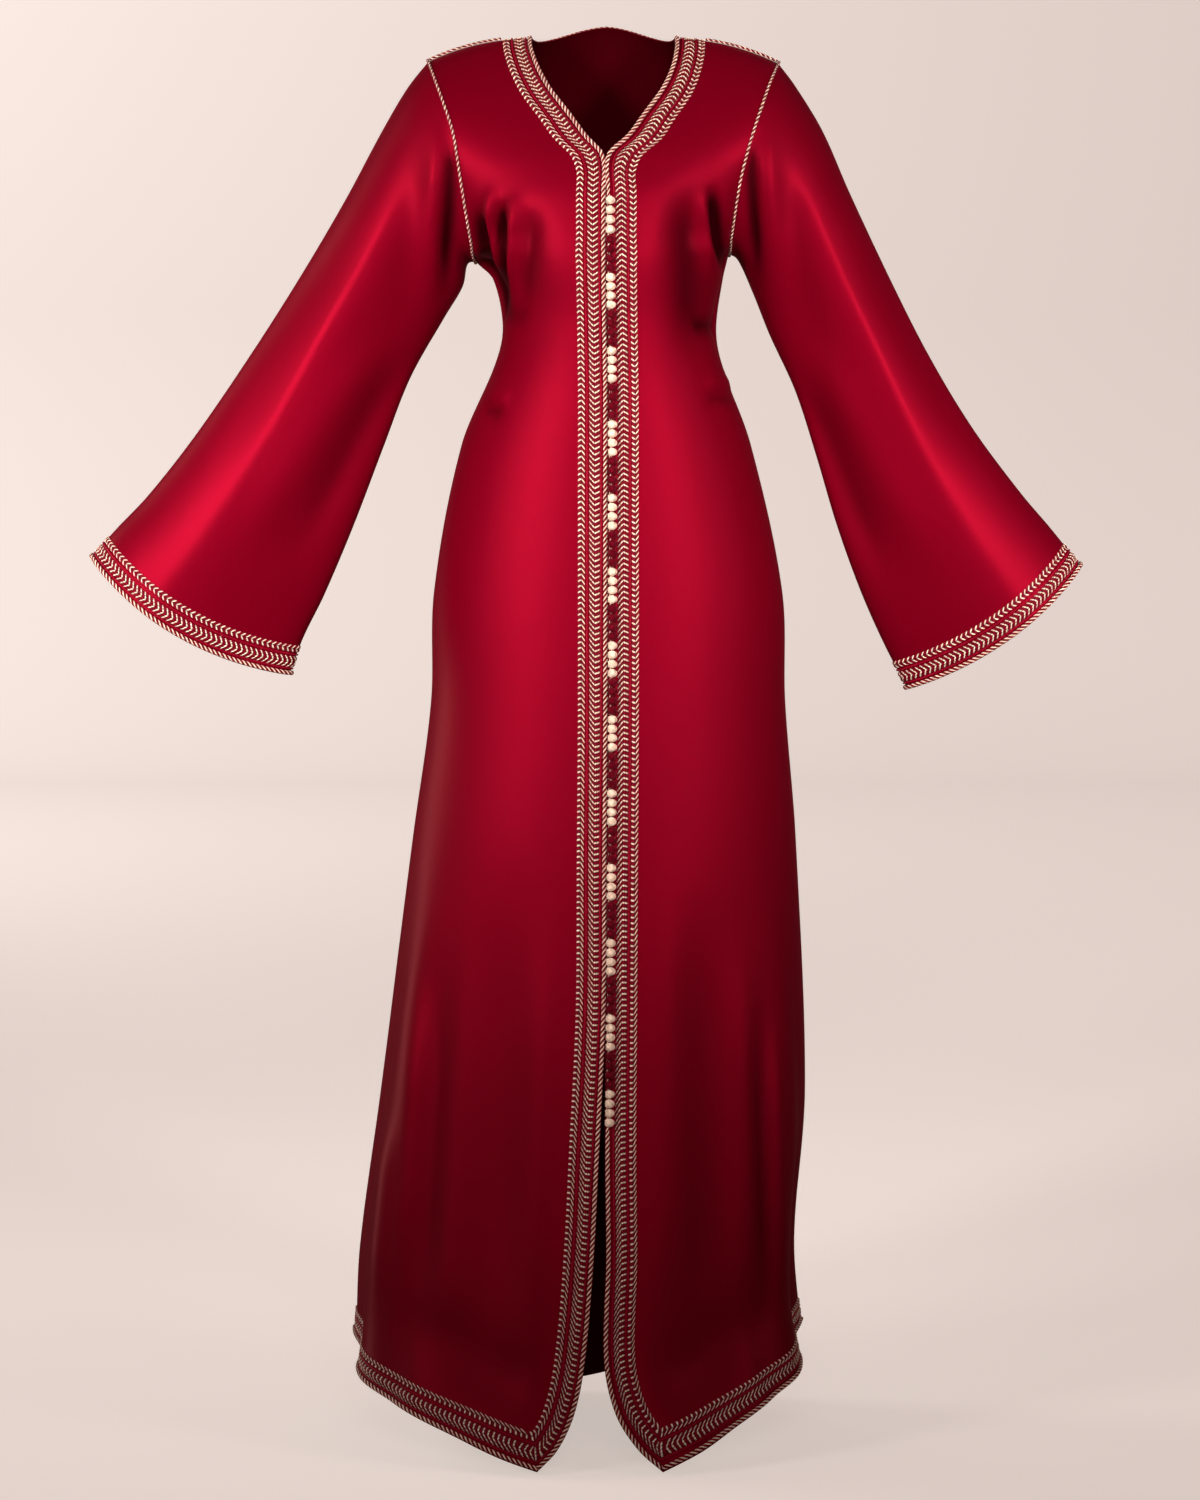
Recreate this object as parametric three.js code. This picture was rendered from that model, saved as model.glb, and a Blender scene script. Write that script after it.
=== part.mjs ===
// A long Moroccan kaftan of wine red satin in the shape it has when worn: two front panels, one back, two
// wide sleeves, braid bands round neck, fronts, hem and cuffs, thin cords over the seams and knot buttons.
// Millimetres, +Z up. The front faces -Y and +X is the viewer's right; left and right in names are the
// viewer's. The origin is midway between the inner ends of the shoulder seams, where shoulders carry it.
import * as THREE from "three";

// Driving sizes
const LENGTH = 1451; // inner end of the shoulder seam, straight down to the front corners of the hem
const WALL = 1.4; // one wall of satin
const SEAM_INSET = 0.15; // a sewn piece stops this far short of its seam
const EDGE_INSET = 0.4; // the fronts and the bands stop this far short of each other
const ARMPIT = 232; // the armhole closes this far down
const ARMHOLE_DEPTH = { front: 76, back: 72 }; // how far the armhole oval reaches from the shoulder's plane
const FLATNESS = { power: 0.84, from: 40, over: 50 }; // sections turn boxier as they cover more degrees
const EASE = { reach: 45, step: 9, from: 0.55, fade: 90 }; // see easedSide
const SHOULDER_CROWN = { rise: 6, fade: 60 }; // how high the shoulder seam bows, gone this far down
const NECK_COLUMNS = 4;
const PLAIN_COLUMNS = 6; // a front's columns outside its band
const YOKE = { depth: 128, rise: 54, nape: 0.4, bandFoot: 0.56, neckFoot: 0.5, curve: 1.3 }; // see yokePatch
const FOLD_FADE = 320; // a fold grows to its full depth over this length
const SLEEVE_LENGTH = 622;
const SEAM_FADE = 150; // a sleeve takes its own section this far from the armhole
const NARROW_FROM = 0.35; // a sleeve's section narrows below this share of its height
const SHARPEST = 0.3; // holds back the inset at a sharp corner
const CORD = { radius: 1.6, clearance: 0.85, sides: 6, trim: 5 };
const BUTTON = { radius: 4.4, neck: 1.3, perRun: 4, sides: 6, aside: 4.2, clearance: 0.3 };
const BUTTON_RUNS = { count: 25, first: 172, last: 1112, gap: 0.8 };

// A table's rows as named columns of numbers.
const table = (names, rows) => Object.fromEntries(names.map((name, i) => [name, rows.map((row) => row[i])]));

// A band's profile: edge rope, groove, wide braid, groove, narrow braid, by distance in from the edge.
const BAND_LIFT = 0.35; // a band's underside above the cloth
const BAND = table(
  ["inward", "height"],
  [
    [0, 3.0],
    [7.5, 1.0],
    [14.5, 2.7],
    [22, 1.0],
    [32, 1.9],
  ],
);
const BAND_COLUMNS = BAND.inward.length - 1;
const BAND_WIDTH = BAND.inward[BAND_COLUMNS];

// The fronts' edges by distance down: the neckline first, then where they meet, then the open slit.
const CENTRE = table(
  ["down", "leftX", "rightX", "y", "z"],
  [
    [0, -78, 71, -10, 3],
    [14, -77, 71, -24, -9],
    [36, -69, 66, -43, -31],
    [59, -56, 55, -60, -55],
    [87, -36, 36, -78, -82],
    [110, -19, 19, -92, -106],
    [130, -2, -1, -103, -126],
    [170, -1, -1, -115, -166],
    [232, -1, -1, -121, -232],
    [305, 0, 0, -115, -305],
    [373, 1, 1, -112, -373],
    [480, 1, 1, -115, -480],
    [700, 1, 1, -127, -700],
    [850, 0, 0, -137, -850],
    [1000, -1, -1, -149, -1001],
    [1144, -8, -2, -163, -1146],
    [1240, -13, -1, -176, -1243],
    [1340, -22, -3, -192, -1345],
    [1395, -33, 9, -203, -1397],
    [1430, -50, 32, -211, -1431],
    [LENGTH, -70, 56, -216, -LENGTH],
  ],
);

// The back's middle line from the foot of its yoke down.
const BACK_MIDDLE = table(
  ["down", "x", "y", "z"],
  [
    [YOKE.depth, 0, 99, -116],
    [170, 0, 100, -160],
    [232, 0, 94, -230],
    [305, -1, 82, -305],
    [373, 0, 80, -373],
    [480, 1, 99, -480],
    [580, 2, 116, -580],
    [700, 1, 122, -700],
    [850, -2, 129, -850],
    [1000, -5, 139, -1000],
    [1144, -13, 151, -1142],
    [1340, -26, 171, -1334],
    [LENGTH, -34, 187, -1440],
  ],
);

// The outer edges as seen from the front, by the same distance down: the armhole, then the side seam.
const SIDE_LEFT = table(
  ["down", "x", "z"],
  [
    [0, -187, -20],
    [36, -176, -50],
    [87, -159, -100],
    [130, -151, -145],
    [205, -141, -211],
    [ARMPIT, -137, -230],
    [256, -119, -249],
    [305, -109, -301],
    [340, -117, -338],
    [420, -152, -422],
    [580, -181, -576],
    [700, -184, -690],
    [850, -203, -832],
    [1144, -237, -1098],
    [1340, -259, -1262],
    [LENGTH, -263, -1350],
  ],
);
const SIDE_RIGHT = table(
  ["down", "x", "z"],
  [
    [0, 180, -22],
    [36, 168, -51],
    [87, 151, -101],
    [130, 139, -142],
    [205, 129, -205],
    [ARMPIT, 128, -222],
    [256, 122, -248],
    [305, 115, -301],
    [340, 121, -338],
    [420, 151, -422],
    [580, 184, -576],
    [700, 187, -690],
    [850, 198, -832],
    [1144, 208, -1092],
    [1340, 197, -1255],
    [LENGTH, 203, -1342],
  ],
);

// How much of a quarter turn a body section covers, in degrees: all of it from the armpit down.
const ARC = table(
  ["down", "degrees"],
  [
    [0, 20],
    [59, 34],
    [130, 56],
    [205, 80],
    [ARMPIT, 90],
    [LENGTH, 90],
  ],
);

// The body's largest folds. Top and foot are places across a half, 0 at its centre line and 1 at the side.
const FOLDS = {
  front_left: [
    { top: 0.35, foot: 0.3, from: 900, width: 0.22, depth: -6 },
    { top: 0.66, foot: 0.7, from: 800, width: 0.16, depth: 8 },
    { top: 0.9, foot: 0.88, from: 1000, width: 0.12, depth: -8 },
  ],
  front_right: [
    { top: 0.3, foot: 0.34, from: 950, width: 0.2, depth: -5 },
    { top: 0.62, foot: 0.7, from: 850, width: 0.16, depth: 9 },
    { top: 0.86, foot: 0.9, from: 1050, width: 0.12, depth: -9 },
  ],
  back_left: [
    { top: 0.3, foot: 0.42, from: 430, width: 0.16, depth: 11 },
    { top: 0.62, foot: 0.74, from: 520, width: 0.16, depth: -12 },
  ],
  back_right: [
    { top: 0.12, foot: 0.08, from: 420, width: 0.14, depth: -11 },
    { top: 0.42, foot: 0.5, from: 460, width: 0.16, depth: 12 },
    { top: 0.74, foot: 0.82, from: 560, width: 0.14, depth: -9 },
  ],
};

// Sleeve sections from armhole to cuff: the upper and lower edges as seen from the front, half the depth,
// how much the lower part narrows, and how far front and back hang past a line between the edges.
const SLEEVE_LEFT = table(
  ["along", "topX", "topZ", "lowX", "lowZ", "depth", "narrow", "bow"],
  [
    [0, -187, -20, -137, -230, 76, 0, 0],
    [30, -209, -48, -146, -233, 75, 0, 0],
    [75, -235, -92, -151, -256, 71, 0.2, 2],
    [145, -274, -165, -171, -290, 65, 0.5, 4],
    [240, -323, -248, -206, -352, 58, 0.7, 7],
    [340, -376, -331, -234, -424, 54, 0.8, 11],
    [440, -433, -414, -266, -508, 52, 0.8, 16],
    [520, -481, -475, -296, -579, 51, 0.7, 18],
    [583, -517, -513, -319, -626, 50, 0.6, 20],
    [SLEEVE_LENGTH, -541, -541, -333, -664, 49, 0.5, 22],
  ],
);
const SLEEVE_RIGHT = table(
  ["along", "topX", "topZ", "lowX", "lowZ", "depth", "narrow", "bow"],
  [
    [0, 180, -22, 128, -222, 76, 0, 0],
    [30, 198, -46, 138, -229, 75, 0, 0],
    [75, 226, -92, 153, -262, 71, 0.2, 2],
    [145, 255, -158, 171, -307, 65, 0.5, 4],
    [240, 296, -245, 198, -366, 58, 0.7, 7],
    [340, 338, -328, 220, -434, 54, 0.8, 11],
    [440, 385, -406, 242, -508, 52, 0.8, 13],
    [520, 434, -472, 267, -577, 51, 0.7, 15],
    [572, 467, -511, 291, -631, 50, 0.6, 16],
    [SLEEVE_LENGTH, 498, -550, 316, -679, 49, 0.5, 16],
  ],
);

// Rows down the body and along a sleeve. The first and last rows keep the bands' own spacing.
const ARMHOLE_ROWS = [...BAND.inward, 62, 94, 128, 162, 193, 216, ARMPIT];
const BODY_ROWS = [
  243, 260, 288, 328, 373, 430, 500, 580, 670, 760, 850, 940, 1030, 1140, 1210, 1280, 1345, 1400,
];
const HEM_ROWS = BAND.inward.map((inward) => LENGTH - inward).reverse();
const ROWS = [...ARMHOLE_ROWS, ...BODY_ROWS, ...HEM_ROWS];
const LAST_ROW = ROWS.length - 1;
const CUFF_ROWS = BAND.inward.map((inward) => SLEEVE_LENGTH - inward).reverse();
const SLEEVE_ROWS = [0, 12, 30, 60, 105, 165, 240, 330, 430, 530, ...CUFF_ROWS];
const RING = 2 * (ARMHOLE_ROWS.length - 1); // points round a sleeve
const FRONT_COLUMNS = BAND_COLUMNS + PLAIN_COLUMNS; // spaces across a front
const BACK_HALF = NECK_COLUMNS + FRONT_COLUMNS; // spaces across half the back

const vec = (x, y, z) => new THREE.Vector3(x, y, z);
const mix = (a, b, u) => a + (b - a) * u;
const smooth = (u) => {
  const k = Math.min(Math.max(u, 0), 1);
  return k * k * (3 - 2 * k);
};

// A smooth curve through points: cubic pieces whose slopes are the slopes between each point's neighbours.
function spline(xs, ys) {
  const last = xs.length - 1;
  const slope = xs.map((_, i) => {
    const before = Math.max(i - 1, 0);
    const after = Math.min(i + 1, last);
    return (ys[after] - ys[before]) / (xs[after] - xs[before]);
  });
  return (x) => {
    let i = 0;
    while (i < last - 1 && x > xs[i + 1]) i++;
    const h = xs[i + 1] - xs[i];
    const u = Math.min(Math.max((x - xs[i]) / h, 0), 1);
    const start = u * (1 - u) * (1 - u) * h * slope[i];
    const end = u * u * (u - 1) * h * slope[i + 1];
    return mix(ys[i], ys[i + 1], smooth(u)) + start + end;
  };
}
const curvesOf = (columns, key) =>
  Object.fromEntries(Object.keys(columns).map((name) => [name, spline(columns[key], columns[name])]));

const centre = curvesOf(CENTRE, "down");
const backMiddle = curvesOf(BACK_MIDDLE, "down");
const arc = curvesOf(ARC, "down");
const side = { left: curvesOf(SIDE_LEFT, "down"), right: curvesOf(SIDE_RIGHT, "down") };
const sleeve = { left: curvesOf(SLEEVE_LEFT, "along"), right: curvesOf(SLEEVE_RIGHT, "along") };

// Angle round the armhole's oval, 0 at the shoulder and half a turn at the armpit.
function armholeAngle(hand, down) {
  const top = side[hand].z(0);
  const share = (top - side[hand].z(down)) / (top - side[hand].z(ARMPIT));
  return Math.acos(1 - 2 * Math.min(Math.max(share, 0), 1));
}

function sidePoint(hand, down, face) {
  const depth = face === "front" ? -ARMHOLE_DEPTH.front : ARMHOLE_DEPTH.back;
  const y = down < ARMPIT ? depth * Math.sin(armholeAngle(hand, down)) : 0;
  return vec(side[hand].x(down), y, side[hand].z(down));
}

// The side's point for a section, averaged over a hand's breadth down except near the side itself and near
// the seam and the hem, so that fronts and back pass the armpit without a crease.
function easedSide(hand, across, down, face) {
  const near = [];
  for (let step = -EASE.reach; step <= EASE.reach; step += EASE.step)
    near.push(sidePoint(hand, Math.min(Math.max(down + step, 0), LENGTH), face));
  const average = near.reduce((sum, point) => sum.add(point), vec(0, 0, 0)).divideScalar(near.length);
  const inside = 1 - smooth((across - EASE.from) / (1 - EASE.from));
  const share = inside * smooth(down / EASE.fade) * smooth((LENGTH - down) / EASE.fade);
  return sidePoint(hand, down, face).lerp(average, share);
}

// A body section from its centre to its side: a stretch of a boxy quarter ellipse.
function sectionPoint(middle, edge, degrees, across) {
  const whole = THREE.MathUtils.degToRad(degrees);
  const turn = whole * across;
  const bulge = (Math.cos(turn) - Math.cos(whole)) / (1 - Math.cos(whole));
  const power = mix(1, FLATNESS.power, smooth((degrees - FLATNESS.from) / FLATNESS.over));
  return vec(
    mix(middle.x, edge.x, Math.sin(turn) / Math.sin(whole)),
    mix(edge.y, middle.y, Math.pow(Math.max(bulge, 0), power)),
    mix(middle.z, edge.z, across),
  );
}

// Folds push the cloth out from, or in towards, the body's upright middle.
function folded(name, point, across, down) {
  let push = 0;
  for (const { top, foot, from, width, depth } of FOLDS[name]) {
    const place = mix(top, foot, (down - from) / (LENGTH - from));
    push += depth * smooth(1 - Math.abs(across - place) / width) * smooth((down - from) / FOLD_FADE);
  }
  return point.addScaledVector(vec(point.x, point.y, 0).normalize(), push);
}

function frontPoint(hand, across, down) {
  const edgeX = hand === "left" ? centre.leftX(down) : centre.rightX(down);
  const middle = vec(edgeX, centre.y(down), centre.z(down));
  const point = sectionPoint(middle, easedSide(hand, across, down, "front"), arc.degrees(down), across);
  point.z += SHOULDER_CROWN.rise * 4 * across * (1 - across) * (1 - smooth(down / SHOULDER_CROWN.fade));
  return folded("front_" + hand, point, across, down);
}

// The back below its yoke, by place across.
function plainBack(hand, place, down) {
  const middle = vec(backMiddle.x(down), backMiddle.y(down), backMiddle.z(down));
  const point = sectionPoint(middle, easedSide(hand, place, down, "back"), arc.degrees(down), place);
  return folded("back_" + hand, point, place, down);
}

// The yoke is a smooth patch between four lines: the back's middle, the armhole, the body's section at the
// yoke's foot and, above, the shoulder seam, carried on from the neck's corner up to the middle, where it
// reaches the rise. u runs from the middle to the armhole and v from the seam to the foot, both 0 to 1.
const neckCorner = (hand) => frontPoint(hand, 0, 0).x / sidePoint(hand, 0, "back").x;
function seamLine(hand, u) {
  const corner = frontPoint(hand, 0, 0);
  const atCorner = neckCorner(hand);
  if (u >= atCorner) return frontPoint(hand, (u - atCorner) / (1 - atCorner), 0);
  const near = u / atCorner;
  const lift = 1 - mix(smooth(near), near * near, 0.5);
  return vec((corner.x * u) / atCorner, corner.y, mix(corner.z, YOKE.rise, lift));
}
function yokePatch(hand, u, v) {
  const whole = THREE.MathUtils.degToRad(arc.degrees(YOKE.depth));
  const footLine = (share) => plainBack(hand, Math.asin(share * Math.sin(whole)) / whole, YOKE.depth);
  const top = seamLine(hand, 0);
  const foot = footLine(0);
  const turn = (Math.PI / 2) * v;
  const middle = vec(0, mix(top.y, foot.y, Math.sin(turn)), mix(foot.z, top.z, Math.cos(turn)));
  const armhole = sidePoint(hand, YOKE.depth * v, "back");
  const fall = smooth(v);
  const away = smooth(u);
  const between = (a, b, share) => a.clone().lerp(b, share);
  const straight = between(between(top, foot, fall), between(seamLine(hand, 1), footLine(1), fall), away);
  return between(seamLine(hand, u), footLine(u), fall)
    .add(between(middle, armhole, away))
    .sub(straight);
}

// Where the back's columns start, on the neckline and the seam, where they cross the neck band's outer
// border and its line on to the armhole, and where they reach the yoke's foot.
function yokePlaces(hand, column) {
  const corner = neckCorner(hand);
  const widen = BAND_WIDTH / Math.abs(sidePoint(hand, 0, "back").x);
  const sideShare = BAND_WIDTH / YOKE.depth;
  if (column > NECK_COLUMNS) {
    const share = frontPlaces(hand, 0)[column - NECK_COLUMNS];
    return {
      top: [mix(corner, 1, share), 0],
      border: [mix(corner + widen, 1, share), sideShare],
      foot: mix(YOKE.neckFoot, 1, share),
    };
  }
  const turn = (Math.PI / 2) * (column / NECK_COLUMNS);
  return {
    top: [corner * Math.sin(turn), YOKE.nape * Math.cos(turn) ** YOKE.curve],
    border: [(corner + widen) * Math.sin(turn), mix(sideShare, YOKE.bandFoot, Math.cos(turn) ** YOKE.curve)],
    foot: YOKE.neckFoot * (column / NECK_COLUMNS),
  };
}

function backPoint(hand, column, down) {
  const { top, border, foot } = yokePlaces(hand, column);
  if (down >= YOKE.depth) {
    const place = mix(foot, column / BACK_HALF, smooth((down - YOKE.depth) / FOLD_FADE));
    return plainBack(hand, place, down);
  }
  if (down < BAND_WIDTH) {
    const part = down / BAND_WIDTH;
    return yokePatch(hand, mix(top[0], border[0], part), mix(top[1], border[1], part));
  }
  const whole = THREE.MathUtils.degToRad(arc.degrees(YOKE.depth));
  const part = (down - BAND_WIDTH) / (YOKE.depth - BAND_WIDTH);
  const footShare = Math.sin(whole * foot) / Math.sin(whole);
  return yokePatch(hand, mix(border[0], footShare, part), mix(border[1], 1, part));
}

// How fast a surface's lines leave an edge: true distance square to the edge for a step of the line.
const STEP = 0.01;
function leavingSpeed(edge, pastEdge, besideEdge) {
  const out = pastEdge.clone().sub(edge);
  const along = besideEdge.clone().sub(edge).normalize();
  return out.clone().addScaledVector(along, -out.dot(along)).length() / STEP;
}

// A front's places across, 0 to 1: the band's by their true width, the others evenly.
function frontPlaces(hand, down) {
  const nearby = down < LENGTH ? down + 1 : down - 1;
  const speed = leavingSpeed(
    frontPoint(hand, 0, down),
    frontPoint(hand, STEP, down),
    frontPoint(hand, 0, nearby),
  );
  const inBand = BAND.inward.map((inward) => inward / speed);
  const inner = inBand[BAND_COLUMNS];
  const plain = Array.from({ length: PLAIN_COLUMNS }, (_, k) => mix(inner, 1, (k + 1) / PLAIN_COLUMNS));
  return [...inBand, ...plain];
}

// Sleeve rings start on the armhole's own points and pass over to the sleeve's sections.
function sleeveSection(hand, along, turn) {
  const at = sleeve[hand];
  const point = vec(at.topX(along), 0, at.topZ(along));
  const chord = vec(at.lowX(along), 0, at.lowZ(along)).sub(point);
  const outward = vec(-Math.abs(chord.z), 0, -Math.abs(chord.x)).normalize();
  if (hand === "right") outward.x *= -1;
  const drop = (1 - Math.cos(turn)) / 2;
  const half = at.depth(along) * (1 - at.narrow(along) * Math.max(drop - NARROW_FROM, 0));
  point.addScaledVector(chord, drop).addScaledVector(outward, at.bow(along) * Math.sin(turn) ** 2);
  point.y = -half * Math.sin(turn);
  return point;
}

function sleevePoint(hand, column, along) {
  const onFront = column <= RING / 2;
  const row = ARMHOLE_ROWS[onFront ? column : RING - column];
  const angle = armholeAngle(hand, row);
  const turn = onFront ? angle : 2 * Math.PI - angle;
  const stray = sidePoint(hand, row, onFront ? "front" : "back").sub(sleeveSection(hand, 0, turn));
  const share = Math.pow(Math.max(0, 1 - along / SEAM_FADE), 2);
  return sleeveSection(hand, along, turn).addScaledVector(stray, share);
}

// Two triangles over a square of points. The diagonal is the one that bends least, unless crossed says
// whether it runs from the square's lower left to its upper right.
function halvesOf(points, [a, b, c, d], crossed) {
  const straight = [
    [a, b, c],
    [a, c, d],
  ];
  const cross = [
    [a, b, d],
    [b, c, d],
  ];
  if (crossed !== undefined) return crossed ? cross : straight;
  const flatness = (pair) => {
    const [one, other] = pair.map((corners) => {
      const [p, q, r] = corners.map((i) => points[i]);
      return new THREE.Triangle(p, q, r).getNormal(vec(0, 0, 0));
    });
    return one.dot(other);
  };
  return flatness(cross) > flatness(straight) ? cross : straight;
}

// A surface: rows of points, and triangles that run anticlockwise seen from outside.
function surfaceOf(rows, columns, { closed = false, flipped = false, crossed = () => undefined }, pointAt) {
  const perRow = closed ? columns : columns + 1;
  const points = [];
  for (let row = 0; row < rows.length; row++)
    for (let column = 0; column < perRow; column++) points.push(pointAt(row, column));
  const triangles = [];
  for (let row = 0; row < rows.length - 1; row++)
    for (let column = 0; column < columns; column++) {
      const a = row * perRow + column;
      const b = row * perRow + ((column + 1) % perRow);
      const nextRow = a - column + perRow;
      for (const corners of halvesOf(points, [a, b, b + perRow, a + perRow], crossed(row, column))) {
        const upper = corners.filter((i) => i < nextRow).length === 2;
        triangles.push({ row, column, upper, corners: flipped ? [...corners].reverse() : corners });
      }
    }
  return { points, triangles, perRow };
}

// Where a front's edge band and hem band meet, the diagonals run through the hem's corner.
const onMitre = (row, column) => (LAST_ROW - 1 - row === column && column < BAND_COLUMNS ? true : undefined);
function frontSurface(hand) {
  const places = ROWS.map((down) => frontPlaces(hand, down));
  return surfaceOf(ROWS, FRONT_COLUMNS, { flipped: hand === "right", crossed: onMitre }, (row, column) =>
    frontPoint(hand, places[row][column], ROWS[row]),
  );
}

// Beside the neck, the diagonals run along the band to the shoulder seam.
const pastNeck = (column) => Math.max(Math.abs(column - BACK_HALF) - NECK_COLUMNS, 0);
function besideNeck(row, column) {
  const steps = Math.max(pastNeck(column), pastNeck(column + 1));
  return row < BAND_COLUMNS && steps > 0 && steps <= BAND_COLUMNS ? column >= BACK_HALF : undefined;
}
function backSurface() {
  return surfaceOf(ROWS, 2 * BACK_HALF, { crossed: besideNeck }, (row, column) =>
    backPoint(column < BACK_HALF ? "left" : "right", Math.abs(column - BACK_HALF), ROWS[row]),
  );
}

function sleeveSurface(hand) {
  return surfaceOf(SLEEVE_ROWS, RING, { closed: true, flipped: hand === "left" }, (row, column) =>
    sleevePoint(hand, column, SLEEVE_ROWS[row]),
  );
}

// Points that lie together share one normal, so that two walls end face to face at a seam.
const TOGETHER = 0.05;
function shareNormals(surfaces) {
  const places = [];
  for (const surface of surfaces)
    surface.places = surface.points.map((point) => {
      let place = places.find((known) => known.point.distanceTo(point) < TOGETHER);
      if (!place) places.push((place = { point, sum: vec(0, 0, 0) }));
      return place;
    });
  for (const { points, triangles, places: own } of surfaces)
    for (const { corners } of triangles)
      corners.forEach((i, k) => {
        const after = points[corners[(k + 1) % 3]].clone().sub(points[i]);
        const before = points[corners[(k + 2) % 3]].clone().sub(points[i]);
        const angle = after.angleTo(before);
        own[i].sum.addScaledVector(after.cross(before).normalize(), angle);
      });
  for (const surface of surfaces)
    surface.normals = surface.places.map((place) => place.sum.clone().normalize());
}

// A closed solid over some of a surface's triangles: its skins lie low and high above the surface, and its
// rim is drawn in by the inset, square to the border.
function solidOver(surface, triangles, low, high, inset) {
  const corners = triangles.map((triangle) => triangle.corners);
  const border = new Map();
  for (const triangle of corners)
    triangle.forEach((a, k) => {
      const b = triangle[(k + 1) % 3];
      if (!border.delete(b + " " + a)) border.set(a + " " + b, [a, b]);
    });
  const pulls = new Map();
  for (const [a, b] of border.values()) {
    const way = surface.points[b].clone().sub(surface.points[a]).normalize();
    for (const i of [a, b]) {
      const inwards = surface.normals[i].clone().cross(way).normalize();
      pulls.set(i, [...(pulls.get(i) ?? []), inwards]);
    }
  }
  const drawnIn = (i) => {
    const point = surface.points[i].clone();
    if (!pulls.has(i)) return point;
    const [one, other] = pulls.get(i);
    return point.addScaledVector(one.clone().add(other), inset / Math.max(1 + one.dot(other), SHARPEST));
  };
  const order = new Map();
  const positions = [];
  for (const i of new Set(corners.flat())) {
    order.set(i, order.size);
    for (const level of [low, high(i)])
      positions.push(...drawnIn(i).addScaledVector(surface.normals[i], level).toArray());
  }
  const lowOf = (i) => 2 * order.get(i);
  const highOf = (i) => 2 * order.get(i) + 1;
  const index = [];
  for (const [a, b, c] of corners) index.push(highOf(a), highOf(b), highOf(c), lowOf(c), lowOf(b), lowOf(a));
  for (const [a, b] of border.values())
    index.push(highOf(b), highOf(a), lowOf(a), highOf(b), lowOf(a), lowOf(b));
  const geometry = new THREE.BufferGeometry();
  geometry.setAttribute("position", new THREE.Float32BufferAttribute(positions, 3));
  geometry.setIndex(index);
  geometry.computeVertexNormals();
  return geometry;
}

const SATIN = new THREE.MeshStandardMaterial({ color: 0x8f0520, roughness: 0.32, metalness: 0 });
const BRAID = new THREE.MeshStandardMaterial({ color: 0xc79a86, roughness: 0.55, metalness: 0.1 });
const CREAM = new THREE.MeshStandardMaterial({ color: 0xe9cfae, roughness: 0.6, metalness: 0 });
const WINE = new THREE.MeshStandardMaterial({ color: 0x6b0716, roughness: 0.6, metalness: 0 });

const kaftan = new THREE.Group();
function add(name, geometry, material) {
  const mesh = new THREE.Mesh(geometry, material);
  mesh.name = name;
  kaftan.add(mesh);
  return mesh;
}

const surfaces = {
  front_left: frontSurface("left"),
  front_right: frontSurface("right"),
  back: backSurface(),
  sleeve_left: sleeveSurface("left"),
  sleeve_right: sleeveSurface("right"),
};
shareNormals(Object.values(surfaces));

// Cloth panels, one wall each, whose outer skin is the surface itself.
for (const [name, surface] of Object.entries(surfaces)) {
  const inset = name.startsWith("front") ? EDGE_INSET : SEAM_INSET;
  add(name, solidOver(surface, surface.triangles, -WALL, () => 0, inset), SATIN);
}

// Braid bands, made from the panel's own points moved out, each ridge as high as its braid.
function addBand(name, surface, triangles, ridgeOf) {
  const height = (i) => {
    const row = Math.floor(i / surface.perRow);
    return BAND_LIFT + BAND.height[Math.min(ridgeOf(row, i - row * surface.perRow), BAND_COLUMNS)];
  };
  add(name, solidOver(surface, triangles, BAND_LIFT, height, EDGE_INSET), BRAID);
}

for (const hand of ["left", "right"]) {
  const surface = surfaces["front_" + hand];
  const inEdgeBand = ({ row, column, upper }) => {
    const fromHem = LAST_ROW - 1 - row;
    return column < BAND_COLUMNS && (fromHem > column || (fromHem === column && upper));
  };
  const inHemBand = (triangle) => LAST_ROW - 1 - triangle.row < BAND_COLUMNS && !inEdgeBand(triangle);
  addBand("front_band_" + hand, surface, surface.triangles.filter(inEdgeBand), (row, column) => column);
  addBand("hem_band_front_" + hand, surface, surface.triangles.filter(inHemBand), (row) => LAST_ROW - row);
}

const inBackHem = ({ row }) => LAST_ROW - 1 - row < BAND_COLUMNS;
addBand("hem_band_back", surfaces.back, surfaces.back.triangles.filter(inBackHem), (row) => LAST_ROW - row);

// The neck band's ends narrow along the shoulder seams to meet the front bands.
const inNeckBand = ({ row, column, upper }) => {
  const inner = column < BACK_HALF ? column + 1 : column;
  const steps = row + pastNeck(inner);
  const beyond = Math.abs(inner - BACK_HALF) >= NECK_COLUMNS;
  return beyond ? steps < BAND_COLUMNS - 1 || (steps === BAND_COLUMNS - 1 && upper) : row < BAND_COLUMNS;
};
addBand("neck_band_back", surfaces.back, surfaces.back.triangles.filter(inNeckBand), (row, column) =>
  row + pastNeck(column),
);

for (const hand of ["left", "right"]) {
  const surface = surfaces["sleeve_" + hand];
  const lastRing = SLEEVE_ROWS.length - 1;
  const inCuff = ({ row }) => lastRing - 1 - row < BAND_COLUMNS;
  addBand("cuff_band_" + hand, surface, surface.triangles.filter(inCuff), (row) => lastRing - row);
}

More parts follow.
